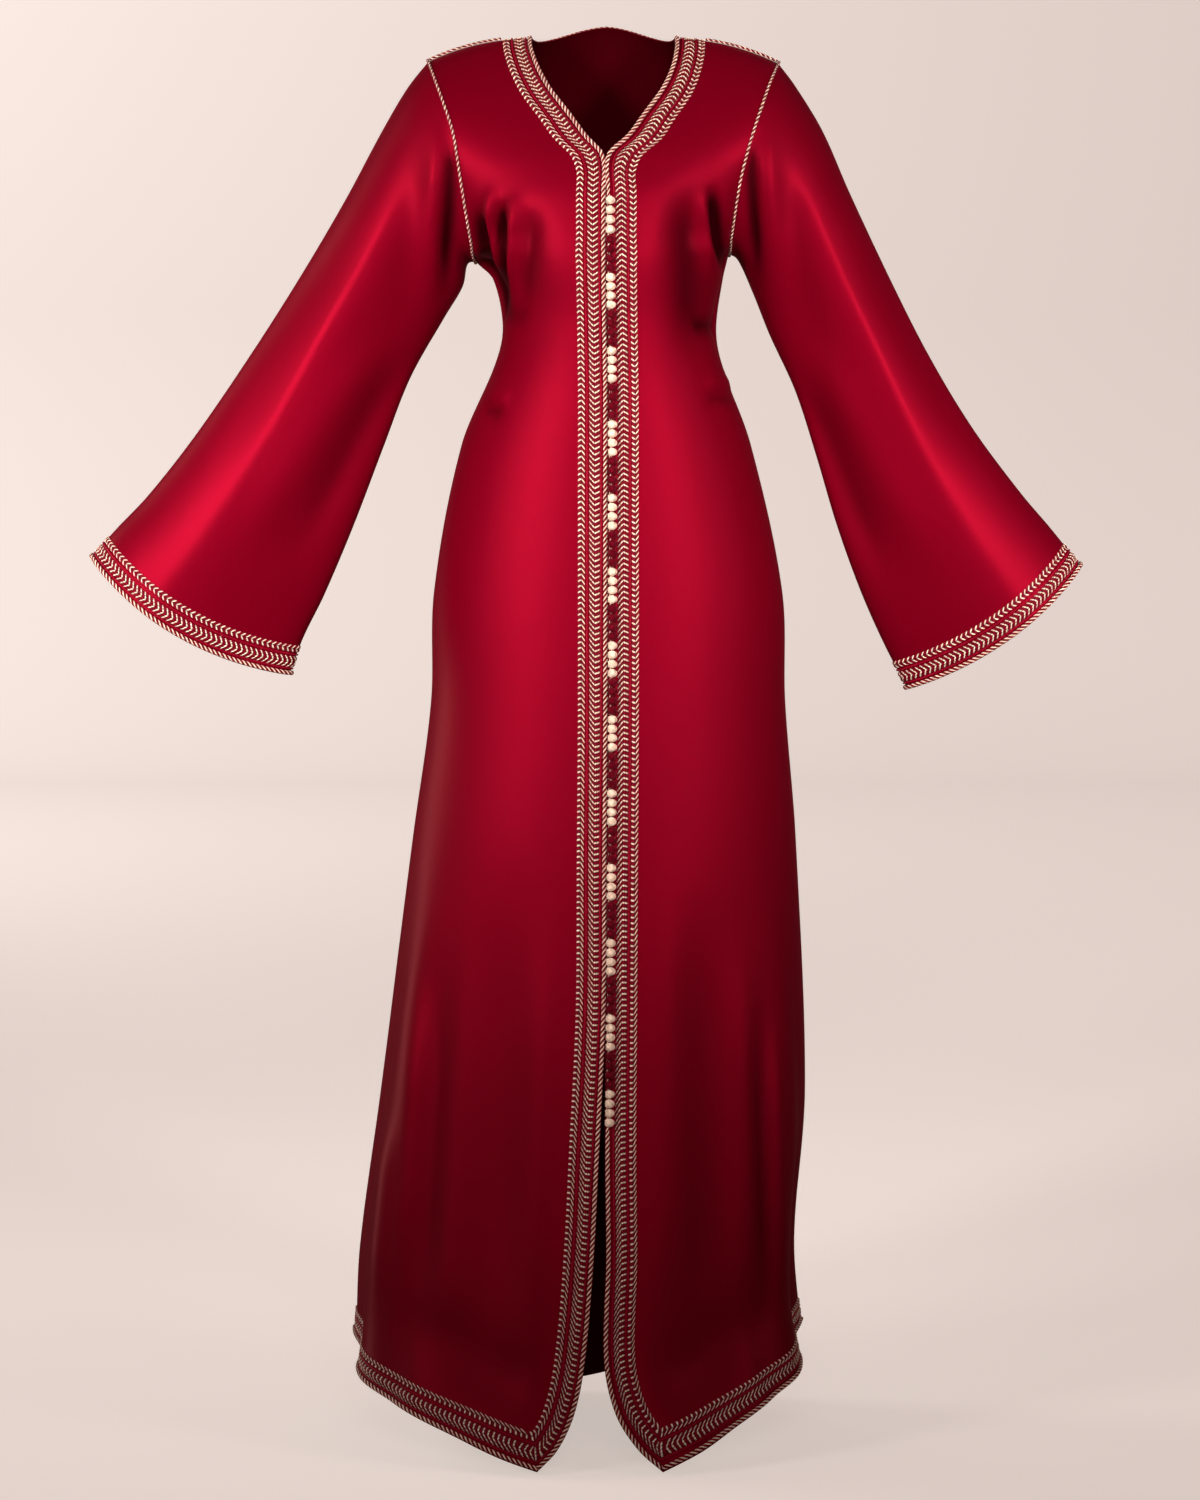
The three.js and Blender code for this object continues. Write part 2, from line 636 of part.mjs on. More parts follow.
// Seam cords: round tubes along seam points moved out. The armhole cords run out just before the armpit.
function addCord(name, surface, pointNumbers, steps) {
  const lift = CORD.radius + CORD.clearance;
  const path = pointNumbers.map((i) => surface.points[i].clone().addScaledVector(surface.normals[i], lift));
  for (const [end, next] of [
    [path[0], path[1]],
    [path.at(-1), path.at(-2)],
  ])
    end.addScaledVector(next.clone().sub(end).normalize(), CORD.trim);
  const around = new THREE.Shape();
  for (let k = 0; k < CORD.sides; k++) {
    const angle = (2 * Math.PI * k) / CORD.sides;
    const corner = [CORD.radius * Math.cos(angle), CORD.radius * Math.sin(angle)];
    if (k === 0) around.moveTo(...corner);
    else around.lineTo(...corner);
  }
  around.closePath();
  const extrudePath = new THREE.CatmullRomCurve3(path);
  add(name, new THREE.ExtrudeGeometry(around, { steps, extrudePath, bevelEnabled: false }), CREAM);
}

for (const hand of ["left", "right"]) {
  const ring = Array.from({ length: RING - 1 }, (_, k) => (RING / 2 + 1 + k) % RING);
  addCord("armhole_cord_" + hand, surfaces["sleeve_" + hand], ring, 2 * RING);
  const seam = Array.from({ length: PLAIN_COLUMNS + 1 }, (_, k) => BAND_COLUMNS + k);
  addCord("shoulder_cord_" + hand, surfaces["front_" + hand], seam, PLAIN_COLUMNS);
}

// Knot buttons: each run is one turned piece of four knots on its cord, over the right front's edge.
function buttonRun(length) {
  const pitch = length / BUTTON.perRun;
  const profile = [vec(0, 0, 0), vec(BUTTON.neck, 0, 0)];
  for (let k = 0; k < BUTTON.perRun; k++)
    profile.push(vec(BUTTON.radius, pitch * (k + 0.5), 0), vec(BUTTON.neck, pitch * (k + 1), 0));
  profile.push(vec(0, length, 0));
  return new THREE.LatheGeometry(profile.map(({ x, y }) => new THREE.Vector2(x, y)), BUTTON.sides);
}

const UP = vec(0, 1, 0);
const standOff = BAND_LIFT + BAND.height[0] + BUTTON.clearance + BUTTON.radius;
const buttonLine = (down) =>
  vec(centre.rightX(down) + BUTTON.aside, centre.y(down) - standOff, centre.z(down));
const runLength = (BUTTON_RUNS.last - BUTTON_RUNS.first) / BUTTON_RUNS.count;
for (let k = 0; k < BUTTON_RUNS.count; k++) {
  const upper = buttonLine(BUTTON_RUNS.first + runLength * k);
  const lower = buttonLine(BUTTON_RUNS.first + runLength * (k + 1));
  const along = upper.clone().sub(lower);
  const length = along.length() - BUTTON_RUNS.gap;
  const name = "button_run_" + String(k + 1).padStart(2, "0");
  const run = add(name, buttonRun(length), k % 2 === 0 ? CREAM : WINE);
  run.position.copy(lower);
  run.quaternion.setFromUnitVectors(UP, along.normalize());
}

export default kaftan;
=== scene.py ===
"""A long wine red satin kaftan in the shape it has when worn: two fronts, a back and two wide sleeves, with
plaited braids along every edge, twisted cords over the seams and knot buttons down the front.

Sizes in the tables are millimetres, as a maker measures them, and meshes are metres. The front faces -Y,
+X is the viewer's right, left and right in names are the viewer's, and the origin is midway between the
inner ends of the shoulder seams."""
import math

import bpy
import numpy as np
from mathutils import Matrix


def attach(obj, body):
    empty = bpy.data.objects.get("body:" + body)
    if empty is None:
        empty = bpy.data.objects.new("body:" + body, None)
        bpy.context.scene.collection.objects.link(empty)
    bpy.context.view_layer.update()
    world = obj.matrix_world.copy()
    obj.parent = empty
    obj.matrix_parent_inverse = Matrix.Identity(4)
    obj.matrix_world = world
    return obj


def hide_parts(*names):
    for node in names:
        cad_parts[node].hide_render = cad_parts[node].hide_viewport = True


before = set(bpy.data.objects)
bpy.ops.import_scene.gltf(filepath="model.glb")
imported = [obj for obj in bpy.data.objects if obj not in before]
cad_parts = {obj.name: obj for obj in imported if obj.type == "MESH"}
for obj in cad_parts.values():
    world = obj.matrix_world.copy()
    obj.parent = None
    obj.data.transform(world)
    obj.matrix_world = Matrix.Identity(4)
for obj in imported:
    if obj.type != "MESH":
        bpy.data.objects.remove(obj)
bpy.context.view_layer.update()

# Camera
# It stands level with the chest, 4.5 m before the kaftan, and its frame is moved down to take in the hem.
FRAME_HEIGHT = 1500
HORIZON = 473
SENSOR = 36
camera_data = bpy.data.cameras.new("camera")
camera_data.sensor_fit = "VERTICAL"
camera_data.sensor_height = SENSOR
camera_data.sensor_width = SENSOR
camera_data.lens = 102.86
camera_data.shift_y = (HORIZON - FRAME_HEIGHT / 2) / FRAME_HEIGHT
camera = bpy.data.objects.new("camera", camera_data)
camera.location = (-0.007, -4.5, -0.452)
camera.rotation_euler = (math.radians(90), 0, 0)
bpy.context.scene.collection.objects.link(camera)
bpy.context.scene.camera = camera

# Satin fronts
# Each front is one piece of satin from the shoulder seam to the hem, cut along the neckline and the front
# opening, and sewn to the back at the shoulder and down the side.
MM = 0.001
LENGTH = 1451
WALL = 1.4
ARMPIT = 232
ARMHOLE_FRONT = -76
ARMHOLE_BACK = 72
FLATNESS = 0.84  # power of a section's bulge: under 1 is boxier than an ellipse
SHOULDER_CROWN = 6
CROWN_FADE = 60
BAND_WIDTH = 32
FOLD_FADE = 320
EASE_REACH, EASE_STEP, EASE_FADE = 45, 9, 90
EASE_FROM, EASE_OVER = 0.55, 0.45


def table(names, *rows):
    """Rows of numbers as named columns."""
    return dict(zip(names.split(), np.array(rows, float).T))


CENTRE = table(
    "down left_x right_x y z",
    (0, -78, 71, -10, 3),
    (14, -77, 71, -24, -9),
    (36, -69, 66, -43, -31),
    (59, -56, 55, -60, -55),
    (87, -36, 36, -78, -82),
    (110, -19, 19, -92, -106),
    (130, -2, -1, -103, -126),
    (170, -1, -1, -115, -166),
    (232, -1, -1, -121, -232),
    (305, 0, 0, -115, -305),
    (373, 1, 1, -112, -373),
    (480, 1, 1, -115, -480),
    (700, 1, 1, -127, -700),
    (850, 0, 0, -137, -850),
    (1000, -1, -1, -149, -1001),
    (1144, -8, -2, -163, -1146),
    (1240, -13, -1, -176, -1243),
    (1340, -22, -3, -192, -1345),
    (1395, -33, 9, -203, -1397),
    (1430, -50, 32, -211, -1431),
    (LENGTH, -70, 56, -216, -LENGTH),
)
SIDES = {
    "left": table(
        "down x z",
        (0, -187, -20),
        (36, -176, -50),
        (87, -159, -100),
        (130, -151, -145),
        (205, -141, -211),
        (ARMPIT, -137, -230),
        (256, -119, -249),
        (305, -109, -301),
        (340, -117, -338),
        (420, -152, -422),
        (580, -181, -576),
        (700, -184, -690),
        (850, -203, -832),
        (1144, -237, -1098),
        (1340, -259, -1262),
        (LENGTH, -263, -1350),
    ),
    "right": table(
        "down x z",
        (0, 180, -22),
        (36, 168, -51),
        (87, 151, -101),
        (130, 139, -142),
        (205, 129, -205),
        (ARMPIT, 128, -222),
        (256, 122, -248),
        (305, 115, -301),
        (340, 121, -338),
        (420, 151, -422),
        (580, 184, -576),
        (700, 187, -690),
        (850, 198, -832),
        (1144, 208, -1092),
        (1340, 197, -1255),
        (LENGTH, 203, -1342),
    ),
}
ARC = table("down degrees", (0, 20), (59, 34), (130, 56), (205, 80), (ARMPIT, 90), (LENGTH, 90))

# The largest folds, which the solids have too. Top and foot are places from the centre line to the side.
FRONT_FOLDS = {
    "left": table(
        "top foot start width depth",
        (0.35, 0.3, 900, 0.22, -6),
        (0.66, 0.7, 800, 0.16, 8),
        (0.9, 0.88, 1000, 0.12, -8),
    ),
    "right": table(
        "top foot start width depth",
        (0.3, 0.34, 950, 0.2, -5),
        (0.62, 0.7, 850, 0.16, 9),
        (0.86, 0.9, 1050, 0.12, -9),
    ),
}

# Creases as seen from the front: a bent line from its upper end over its bend to its lower end.
FRONT_CREASES = {
    "left": table(
        "x0 z0 x1 z1 x2 z2 width depth",
        (-133, -168, -131, -235, -112, -305, 9, -15),
        (-119, -150, -123, -205, -113, -278, 7, 9),
        (-109, -165, -113, -215, -107, -300, 8, -15),
        (-97, -160, -95, -215, -108, -290, 9, 9),
        (-84, -170, -80, -225, -93, -300, 15, -7),
        (-131, -383, -120, -386, -104, -395, 8, -3.5),
        (-128, -372, -112, -372, -98, -378, 8, 3),
        (-112, -295, -96, -288, -78, -296, 10, -3),
        (-190, -960, -198, -1130, -214, -1340, 15, 6),
        (-172, -900, -182, -1130, -194, -1370, 19, -6),
        (-222, -1100, -232, -1210, -240, -1330, 10, 5),
        (-100, -820, -118, -1080, -112, -1390, 42, -6),
        (-60, -880, -66, -1120, -78, -1400, 26, 4),
        (-215, -1290, -140, -1362, -40, -1385, 34, -5),
    ),
    "right": table(
        "x0 z0 x1 z1 x2 z2 width depth",
        (108, -150, 116, -205, 126, -250, 7, -9),
        (98, -158, 104, -205, 117, -260, 8, 6),
        (86, -140, 90, -240, 98, -350, 22, -12),
        (124, -300, 110, -298, 92, -302, 8, -3),
        (138, -372, 120, -376, 98, -372, 8, -3),
        (134, -360, 116, -360, 98, -358, 8, 3),
        (170, -1000, 172, -1150, 178, -1320, 9, 6),
        (156, -980, 160, -1150, 164, -1350, 10, -6),
        (140, -900, 142, -1120, 148, -1370, 15, 5),
        (96, -860, 104, -1100, 112, -1390, 26, -6),
        (56, -820, 60, -1080, 72, -1395, 24, 4),
        (40, -1385, 110, -1352, 185, -1272, 32, -5),
    ),
}


def mix(a, b, share):
    """From a to b by share, in a straight line."""
    return a + (b - a) * share


def smooth(share):
    """A rise from 0 to 1 that starts and ends level."""
    k = np.clip(share, 0, 1)
    return k * k * (3 - 2 * k)


def read(columns, name, at):
    """A column read at places along the first one, on a smooth curve: cubic pieces whose slope at each point
    is the slope between its neighbours."""
    xs, ys = columns["down" if "down" in columns else "along"], columns[name]
    number = np.arange(len(xs))
    before, after = np.maximum(number - 1, 0), np.minimum(number + 1, len(xs) - 1)
    slope = (ys[after] - ys[before]) / (xs[after] - xs[before])
    piece = np.searchsorted(xs[1:-1], at, side="left")
    step = xs[piece + 1] - xs[piece]
    u = np.clip((at - xs[piece]) / step, 0, 1)
    bend = u * (1 - u) ** 2 * step * slope[piece] + u * u * (u - 1) * step * slope[piece + 1]
    return mix(ys[piece], ys[piece + 1], smooth(u)) + bend


def points_of(x, y, z):
    """Three arrays or numbers as one array of points."""
    return np.stack(np.broadcast_arrays(x, y, z), axis=-1).astype(float)


def unit(vectors):
    """Each vector divided by its length."""
    return vectors / np.maximum(np.linalg.norm(vectors, axis=-1, keepdims=True), 1e-9)


def armhole_angle(hand, down):
    """The turn round the armhole's oval, 0 at the shoulder and half a turn at the armpit, by height."""
    column = SIDES[hand]
    top, low = read(column, "z", 0.0), read(column, "z", float(ARMPIT))
    return np.arccos(1 - 2 * np.clip((top - read(column, "z", down)) / (top - low), 0, 1))


def side_point(hand, down, depth):
    """The armhole's oval down to the armpit, then the side seam."""
    column = SIDES[hand]
    y = np.where(down < ARMPIT, depth * np.sin(armhole_angle(hand, down)), 0)
    return points_of(read(column, "x", down), y, read(column, "z", down))


def section_point(middle, edge, degrees, across):
    """From the centre line to the side on a stretch of a boxy quarter ellipse: x by the sine of the turn, y
    by its cosine raised to the flatness, z evenly."""
    whole = np.radians(degrees)
    turn = whole * across
    bulge = np.maximum((np.cos(turn) - np.cos(whole)) / (1 - np.cos(whole)), 0)
    power = mix(1, FLATNESS, smooth((degrees - 40) / 50))
    return points_of(
        mix(middle[..., 0], edge[..., 0], np.sin(turn) / np.sin(whole)),
        mix(edge[..., 1], middle[..., 1], bulge**power),
        mix(middle[..., 2], edge[..., 2], across),
    )


def folded(points, folds, across, down):
    """Each fold pushes the cloth level out from the body's upright middle, by a soft ridge round its place
    across, which grows to its full depth on the way down."""
    push = np.zeros(points.shape[:-1])
    for top, foot, start, width, depth in zip(*folds.values()):
        share = (down - start) / (LENGTH - start)
        ridge = smooth(1 - np.abs(across - mix(top, foot, share)) / width)
        push += depth * ridge * smooth((down - start) / FOLD_FADE)
    level = points * (1, 1, 0)
    return points + unit(level) * push[..., None]


def eased(edge, hand, down, across, depth):
    """The side's point, averaged over a hand's breadth down except near the side itself and near the seam
    and the hem, so that the cloth passes the armpit without a crease."""
    steps = range(-EASE_REACH, EASE_REACH + 1, EASE_STEP)
    near = sum(side_point(hand, np.clip(down + step, 0, LENGTH), depth) for step in steps) / len(steps)
    share = (1 - smooth((across - EASE_FROM) / EASE_OVER)) * smooth(down / EASE_FADE)
    share = share * smooth((LENGTH - down) / EASE_FADE)
    return edge + (near - edge) * share[..., None]


def front_point(hand, across, down):
    """A place on a front: the section from the centre line to the eased side, raised by a low arch along the
    shoulder, with the largest folds."""
    across, down = np.broadcast_arrays(np.asarray(across, float), np.asarray(down, float))
    middle = points_of(read(CENTRE, hand + "_x", down), read(CENTRE, "y", down), read(CENTRE, "z", down))
    edge = eased(side_point(hand, down, ARMHOLE_FRONT), hand, down, across, ARMHOLE_FRONT)
    points = section_point(middle, edge, read(ARC, "degrees", down), across)
    points[..., 2] += SHOULDER_CROWN * 4 * across * (1 - across) * (1 - smooth(down / CROWN_FADE))
    return folded(points, FRONT_FOLDS[hand], across, down)


def band_speed(hand, down):
    """How far the cloth runs in from the front's edge, square to it, for a whole step across."""
    step = 0.01
    edge = front_point(hand, 0, down)
    out = front_point(hand, step, down) - edge
    along = unit(front_point(hand, 0, np.where(down < LENGTH, down + 1, down - 1)) - edge)
    square = out - along * np.sum(out * along, axis=-1, keepdims=True)
    return np.linalg.norm(square, axis=-1) / step


CREASE_PIECES = 8
CREASE_FADE = 0.35  # of a crease's length at either end


def crease_push(points, creases):
    """How far each point moves out: for every crease its depth, times a bell of the distance to its bent
    line as seen from the front, times a fade towards its two ends. The second result is how hollow the cloth
    is there, which sets the painted shade of the creases: the same sum with each crease's depth taken as a
    share of its width."""
    share = np.linspace(0, 1, CREASE_PIECES + 1)
    seen = points[..., [0, 2]]
    push = np.zeros(points.shape[:-1])
    hollow = np.zeros_like(push)
    for x0, z0, x1, z1, x2, z2, width, depth in zip(*creases.values()):
        ends = [np.array(end) for end in ((x0, z0), (x1, z1), (x2, z2))]
        line = sum(
            weight[:, None] * end
            for weight, end in zip(((1 - share) ** 2, 2 * share * (1 - share), share**2), ends)
        )
        start, way = line[:-1], np.diff(line, axis=0)
        off = seen[..., None, :] - start
        part = np.clip(np.sum(off * way, axis=-1) / np.sum(way * way, axis=-1), 0, 1)
        away = np.linalg.norm(off - way * part[..., None], axis=-1)
        nearest = np.argmin(away, axis=-1)[..., None]
        distance = np.take_along_axis(away, nearest, -1)[..., 0]
        along = (np.take_along_axis(part, nearest, -1) + nearest)[..., 0] / CREASE_PIECES
        fade = smooth(along / CREASE_FADE) * smooth((1 - along) / CREASE_FADE)
        bell = np.exp(-((distance / width) ** 2)) * fade
        push += depth * bell
        hollow -= depth / width * bell
    return push, hollow


# Painted shade: the satin's colour is darkened in the hollows of creases, fully where a trough is this deep.
FULL_SHADE = 0.9  # a trough whose depth is this share of its width is all shade


def grid_normals(points, closed, flipped):
    """Square to the two ways across a grid of points. A closed grid joins its last column to its first."""
    if closed:
        wide = np.concatenate([points[:, -1:], points, points[:, :1]], axis=1)
        across = np.gradient(wide, axis=1)[:, 1:-1]
    else:
        across = np.gradient(points, axis=1)
    normals = unit(np.cross(across, np.gradient(points, axis=0)))
    return -normals if flipped else normals


class Cloth:
    """A panel's outer skin: a grid of points, the normals that point out of the garment, and the painted
    shade that darkens each point's colour in the hollow of a fold, 0 to 1."""

    def __init__(self, points, closed=False, flipped=False, shade=None):
        self.points, self.closed, self.flipped = points, closed, flipped
        self.normals = grid_normals(points, closed, flipped)
        self.shade = np.zeros(points.shape[:2]) if shade is None else shade

    def moved(self, push, hollow):
        """The same panel with each point moved out by push, with painted shade where it is hollow."""
        skin = self.points + self.normals * push[..., None]
        return Cloth(skin, self.closed, self.flipped, smooth(hollow / FULL_SHADE))

    def lay(self, row, column):
        """Points and normals at any place on the grid, straight between its four nearest points."""
        row, column = np.broadcast_arrays(row, column)
        rows, columns = self.points.shape[:2]
        r = np.clip(np.floor(row).astype(int), 0, rows - 2)
        c = np.floor(column).astype(int)
        if not self.closed:
            c = np.clip(c, 0, columns - 2)
        v, u = (row - r)[..., None], (column - c)[..., None]
        here, beside = c % columns, (c + 1) % columns
        laid = [
            mix(mix(g[r, here], g[r, beside], u), mix(g[r + 1, here], g[r + 1, beside], u), v)
            for g in (self.points, self.normals)
        ]
        return laid[0], unit(laid[1])


def mesh_object(name, points, blocks, corner_uv, materials, slots=None, sharp=50, shade=None):
    """A mesh piece from points in millimetres and blocks of faces, all faces of a block having as many
    corners. corner_uv has one row for each face corner."""
    mesh = bpy.data.meshes.new(name)
    corners = np.concatenate([block.ravel() for block in blocks]).astype(np.int32)
    sizes = np.concatenate([np.full(len(block), block.shape[1]) for block in blocks])
    mesh.vertices.add(len(points))
    mesh.vertices.foreach_set("co", (points * MM).astype(np.float32).ravel())
    mesh.loops.add(len(corners))
    mesh.loops.foreach_set("vertex_index", corners)
    mesh.polygons.add(len(sizes))
    mesh.polygons.foreach_set("loop_start", (np.cumsum(sizes) - sizes).astype(np.int32))
    mesh.polygons.foreach_set("use_smooth", np.ones(len(sizes), bool))
    if slots is not None:
        mesh.polygons.foreach_set("material_index", slots.astype(np.int32))
    mesh.update(calc_edges=True)
    layer = mesh.uv_layers.new(name="cut")
    layer.data.foreach_set("uv", (corner_uv * MM).astype(np.float32).ravel())
    # Painted shade: how far each point's colour is darkened, in the hollows of folds and in the gaps between
    # strands.
    if shade is not None:
        mesh.attributes.new("shade", "FLOAT", "POINT").data.foreach_set("value", shade.astype(np.float32))
    mesh.set_sharp_from_angle(angle=math.radians(sharp))
    mesh.validate()
    for material in materials:
        mesh.materials.append(material)
    piece = bpy.data.objects.new(name, mesh)
    bpy.context.scene.collection.objects.link(piece)
    return piece


def run_lengths(points, axis):
    """The length run along a grid's rows or columns, from its first line."""
    steps = np.linalg.norm(np.diff(points, axis=axis), axis=-1)
    start = np.zeros_like(np.take(steps, [0], axis=axis))
    return np.cumsum(np.concatenate([start, steps], axis=axis), axis=axis)


def grid_quads(number):
    """The four-cornered faces between the rows and columns of a grid of point numbers."""
    return np.stack([number[:-1, :-1], number[:-1, 1:], number[1:, 1:], number[1:, :-1]], -1).reshape(-1, 4)


def wall_of_cloth(name, cloth, materials):
    """A closed thin shell: the outer skin, the inner skin one wall inside it, and a rim at open edges. Its
    UV map is the length run across and along the cloth. The inner skin has the second material, a dull
    reverse darkened with painted shade."""
    points, normals = cloth.points, cloth.normals
    rows, columns = points.shape[:2]
    wide = np.concatenate([points, points[:, :1]], axis=1) if cloth.closed else points
    across = wide.shape[1]
    number = np.arange(rows * across).reshape(rows, across)
    quads = grid_quads(number)
    rims = [
        np.stack([number[0, :-1], number[0, 1:]], -1),
        np.stack([number[-1, 1:], number[-1, :-1]], -1),
    ]
    if not cloth.closed:
        rims.append(np.stack([number[:-1, -1], number[1:, -1]], -1))
        rims.append(np.stack([number[1:, 0], number[:-1, 0]], -1))
    rim = np.concatenate(rims)
    if cloth.flipped:
        quads, rim = quads[:, ::-1], rim[:, ::-1]
    inner = rows * across
    a, b = rim[:, 0], rim[:, 1]
    faces = np.concatenate([quads, quads[:, ::-1] + inner, np.stack([b, a, a + inner, b + inner], -1)])
    flat = np.stack([run_lengths(wide, 1), run_lengths(wide, 0)], -1).reshape(-1, 2)
    flat = np.concatenate([flat, flat])
    row, column = np.divmod(np.arange(rows * across), across)
    own = row * columns + column % columns
    own = np.concatenate([own, own + rows * columns])
    shell = np.concatenate([points.reshape(-1, 3), (points - normals * WALL).reshape(-1, 3)])
    slots = np.zeros(len(faces))
    slots[len(quads) : 2 * len(quads)] = 1
    # The painted shade of the folds, on both skins.
    shade = np.tile(cloth.shade.ravel(), 2)
    return mesh_object(name, shell, [own[faces]], flat[faces].reshape(-1, 2), materials, slots, shade=shade)


# The satin: a close weave with its floats on the right side, so that it shines softly in its own red.
def effect(name, inputs, outputs):
    """An empty node group with named inputs and outputs, each name with its kind and first value."""
    group = bpy.data.node_groups.new(name, "ShaderNodeTree")
    for socket, (kind, value) in inputs.items():
        group.interface.new_socket(socket, in_out="INPUT", socket_type=kind).default_value = value
    for socket, kind in outputs.items():
        group.interface.new_socket(socket, in_out="OUTPUT", socket_type=kind)
    start = group.nodes.new("NodeGroupInput")
    end = group.nodes.new("NodeGroupOutput")
    return group, start, end


def node(tree, kind, values=(), **settings):
    """A node with its settings, and values for its inputs by name or number: numbers, or sockets to link."""
    made = tree.nodes.new(kind)
    for key, value in settings.items():
        setattr(made, key, value)
    for key, value in dict(values).items():
        if isinstance(value, bpy.types.NodeSocket):
            tree.links.new(value, made.inputs[key])
        else:
            made.inputs[key].default_value = value
    return made


def noise(tree, place, stretch, detail):
    """The socket of a soft noise over places that are stretched first."""
    wide = node(tree, "ShaderNodeMapping", {"Vector": place, "Scale": stretch})
    made = node(tree, "ShaderNodeTexNoise", {"Vector": wide.outputs[0], "Scale": 1.0, "Detail": detail})
    return made.outputs["Fac"]


def blend(tree, share, low, high):
    """The socket of a colour from low to high by share."""
    return node(tree, "ShaderNodeMix", {0: share, 6: low, 7: high}, data_type="RGBA").outputs[2]


def scaled(tree, value, factor, base):
    """The socket of value times factor, added to base."""
    values = {0: value, 1: factor, 2: base}
    return node(tree, "ShaderNodeMath", values, operation="MULTIPLY_ADD").outputs[0]


def satin_effect():
    """Puts out the dye's colour between a deep and a full red, darkened towards Shade by painted shade in the
    hollows of folds, the roughness, and the height of the cloth's faint ripples and of its fine floats, which
    run along the cut."""
    group, start, end = effect(
        "satin_weave",
        {
            "Deep": ("NodeSocketColor", (0.2, 0, 0.01, 1)),
            "Full": ("NodeSocketColor", (0.4, 0, 0.02, 1)),
            "Shade": ("NodeSocketColor", (0.02, 0, 0.001, 1)),
            "Gloss": ("NodeSocketFloat", 0.35),
        },
        {"Color": "NodeSocketColor", "Roughness": "NodeSocketFloat", "Height": "NodeSocketFloat"},
    )
    place = node(group, "ShaderNodeTexCoord").outputs
    cloudy = noise(group, place["Object"], (6, 6, 1.6), 3.0)
    ripple = noise(group, place["Object"], (60, 60, 14), 2.0)
    thread = noise(group, place["UV"], (2400, 340, 1), 1.0)
    # Painted shade of the fold hollows, stored on the mesh, darkens the colour towards Shade.
    fold = node(group, "ShaderNodeAttribute", attribute_name="shade").outputs["Fac"]
    tone = blend(group, cloudy, start.outputs["Deep"], start.outputs["Full"])
    height = scaled(group, ripple, 0.5, scaled(group, thread, 0.03, 0.0))
    group.links.new(blend(group, fold, tone, start.outputs["Shade"]), end.inputs["Color"])
    group.links.new(scaled(group, thread, 0.08, start.outputs["Gloss"]), end.inputs["Roughness"])
    group.links.new(height, end.inputs["Height"])
    return group


def finish_of(name, group, values, bump, **surface):
    """A material that takes colour, roughness and height from an effect. surface sets the shader's own
    sockets."""
    material = bpy.data.materials.new(name)
    material.use_nodes = True
    tree = material.node_tree
    shader = tree.nodes["Principled BSDF"]
    for key, value in surface.items():
        shader.inputs[key.replace("_", " ")].default_value = value
    part = tree.nodes.new("ShaderNodeGroup")
    part.node_tree = group
    for key, value in values.items():
        part.inputs[key].default_value = value
    heights = {"Height": part.outputs["Height"], "Strength": 1.0, "Distance": bump}
    raised = node(tree, "ShaderNodeBump", heights)
    tree.links.new(part.outputs["Color"], shader.inputs["Base Color"])
    tree.links.new(part.outputs["Roughness"], shader.inputs["Roughness"])
    tree.links.new(raised.outputs[0], shader.inputs["Normal"])
    return material


weave = satin_effect()
satin = finish_of(
    "wine_red_satin",
    weave,
    {
        "Deep": (0.128, 0.0, 0.0061, 1),
        "Full": (0.152, 0.0, 0.0074, 1),
        # Painted shade colour for the hollows of folds.
        "Shade": (0.018, 0.0, 0.001, 1),
        "Gloss": 0.41,
    },
    0.0005,
    Metallic=0.24,
    Specular_Tint=(1.0, 0.05, 0.08, 1),
    Sheen_Weight=0.05,
    Sheen_Roughness=0.3,
    Sheen_Tint=(1.0, 0.12, 0.16, 1),
    Specular_IOR_Level=0.2,
)
# The inside of the garment: a dull reverse, as real satin's wrong side is, and painted much darker than the
# dye as shade for the hollow inside.
satin_reverse_painted_shade = finish_of(
    "satin_reverse_painted_shade",
    weave,
    {
        "Deep": (0.035, 0.0, 0.0018, 1),
        "Full": (0.05, 0.0, 0.0024, 1),
        "Shade": (0.02, 0.0, 0.001, 1),
        "Gloss": 0.75,
    },
    0.0003,
    Specular_Tint=(1.0, 0.05, 0.08, 1),
    Specular_IOR_Level=0.1,
)

ROWS = 241
ROW_STEP = LENGTH / (ROWS - 1)
BAND_STEPS = 8
PLAIN_STEPS = 46
HEM_FADE = 70
band_inward = np.linspace(0, BAND_WIDTH, BAND_STEPS + 1)


def front_cloth(hand):
    """A front's grid: even rows down, columns at true distances from the edge over the band, then even ones
    to the side. Creases fade out at the seams and are held flat by the band."""
    down = np.linspace(0, LENGTH, ROWS)[:, None]
    speed = band_speed(hand, down)
    rim = np.pad(speed, ((3, 3), (0, 0)), mode="edge")
    even = sum(rim[k : k + ROWS] for k in range(7)) / 7
    banded = band_inward[None, :] / even
    plain = mix(banded[:, -1:], 1, np.arange(1, PLAIN_STEPS + 1) / PLAIN_STEPS)
    across = np.concatenate([banded, plain], axis=1)
    cloth = Cloth(front_point(hand, across, down), flipped=hand == "right")
    from_edge = np.concatenate([band_inward, BAND_WIDTH + 5 * np.arange(1, PLAIN_STEPS + 1)])
    held = mix(0.15, 1, smooth((from_edge - 20) / 40))[None, :]
    seam = smooth((1 - across) / 0.06) * smooth(down / 25) * smooth((LENGTH - down) / HEM_FADE)
    push, hollow = crease_push(cloth.points, FRONT_CREASES[hand])
    return cloth.moved(push * held * seam, hollow * held * seam)


cloths = {"front_" + hand: front_cloth(hand) for hand in ("left", "right")}

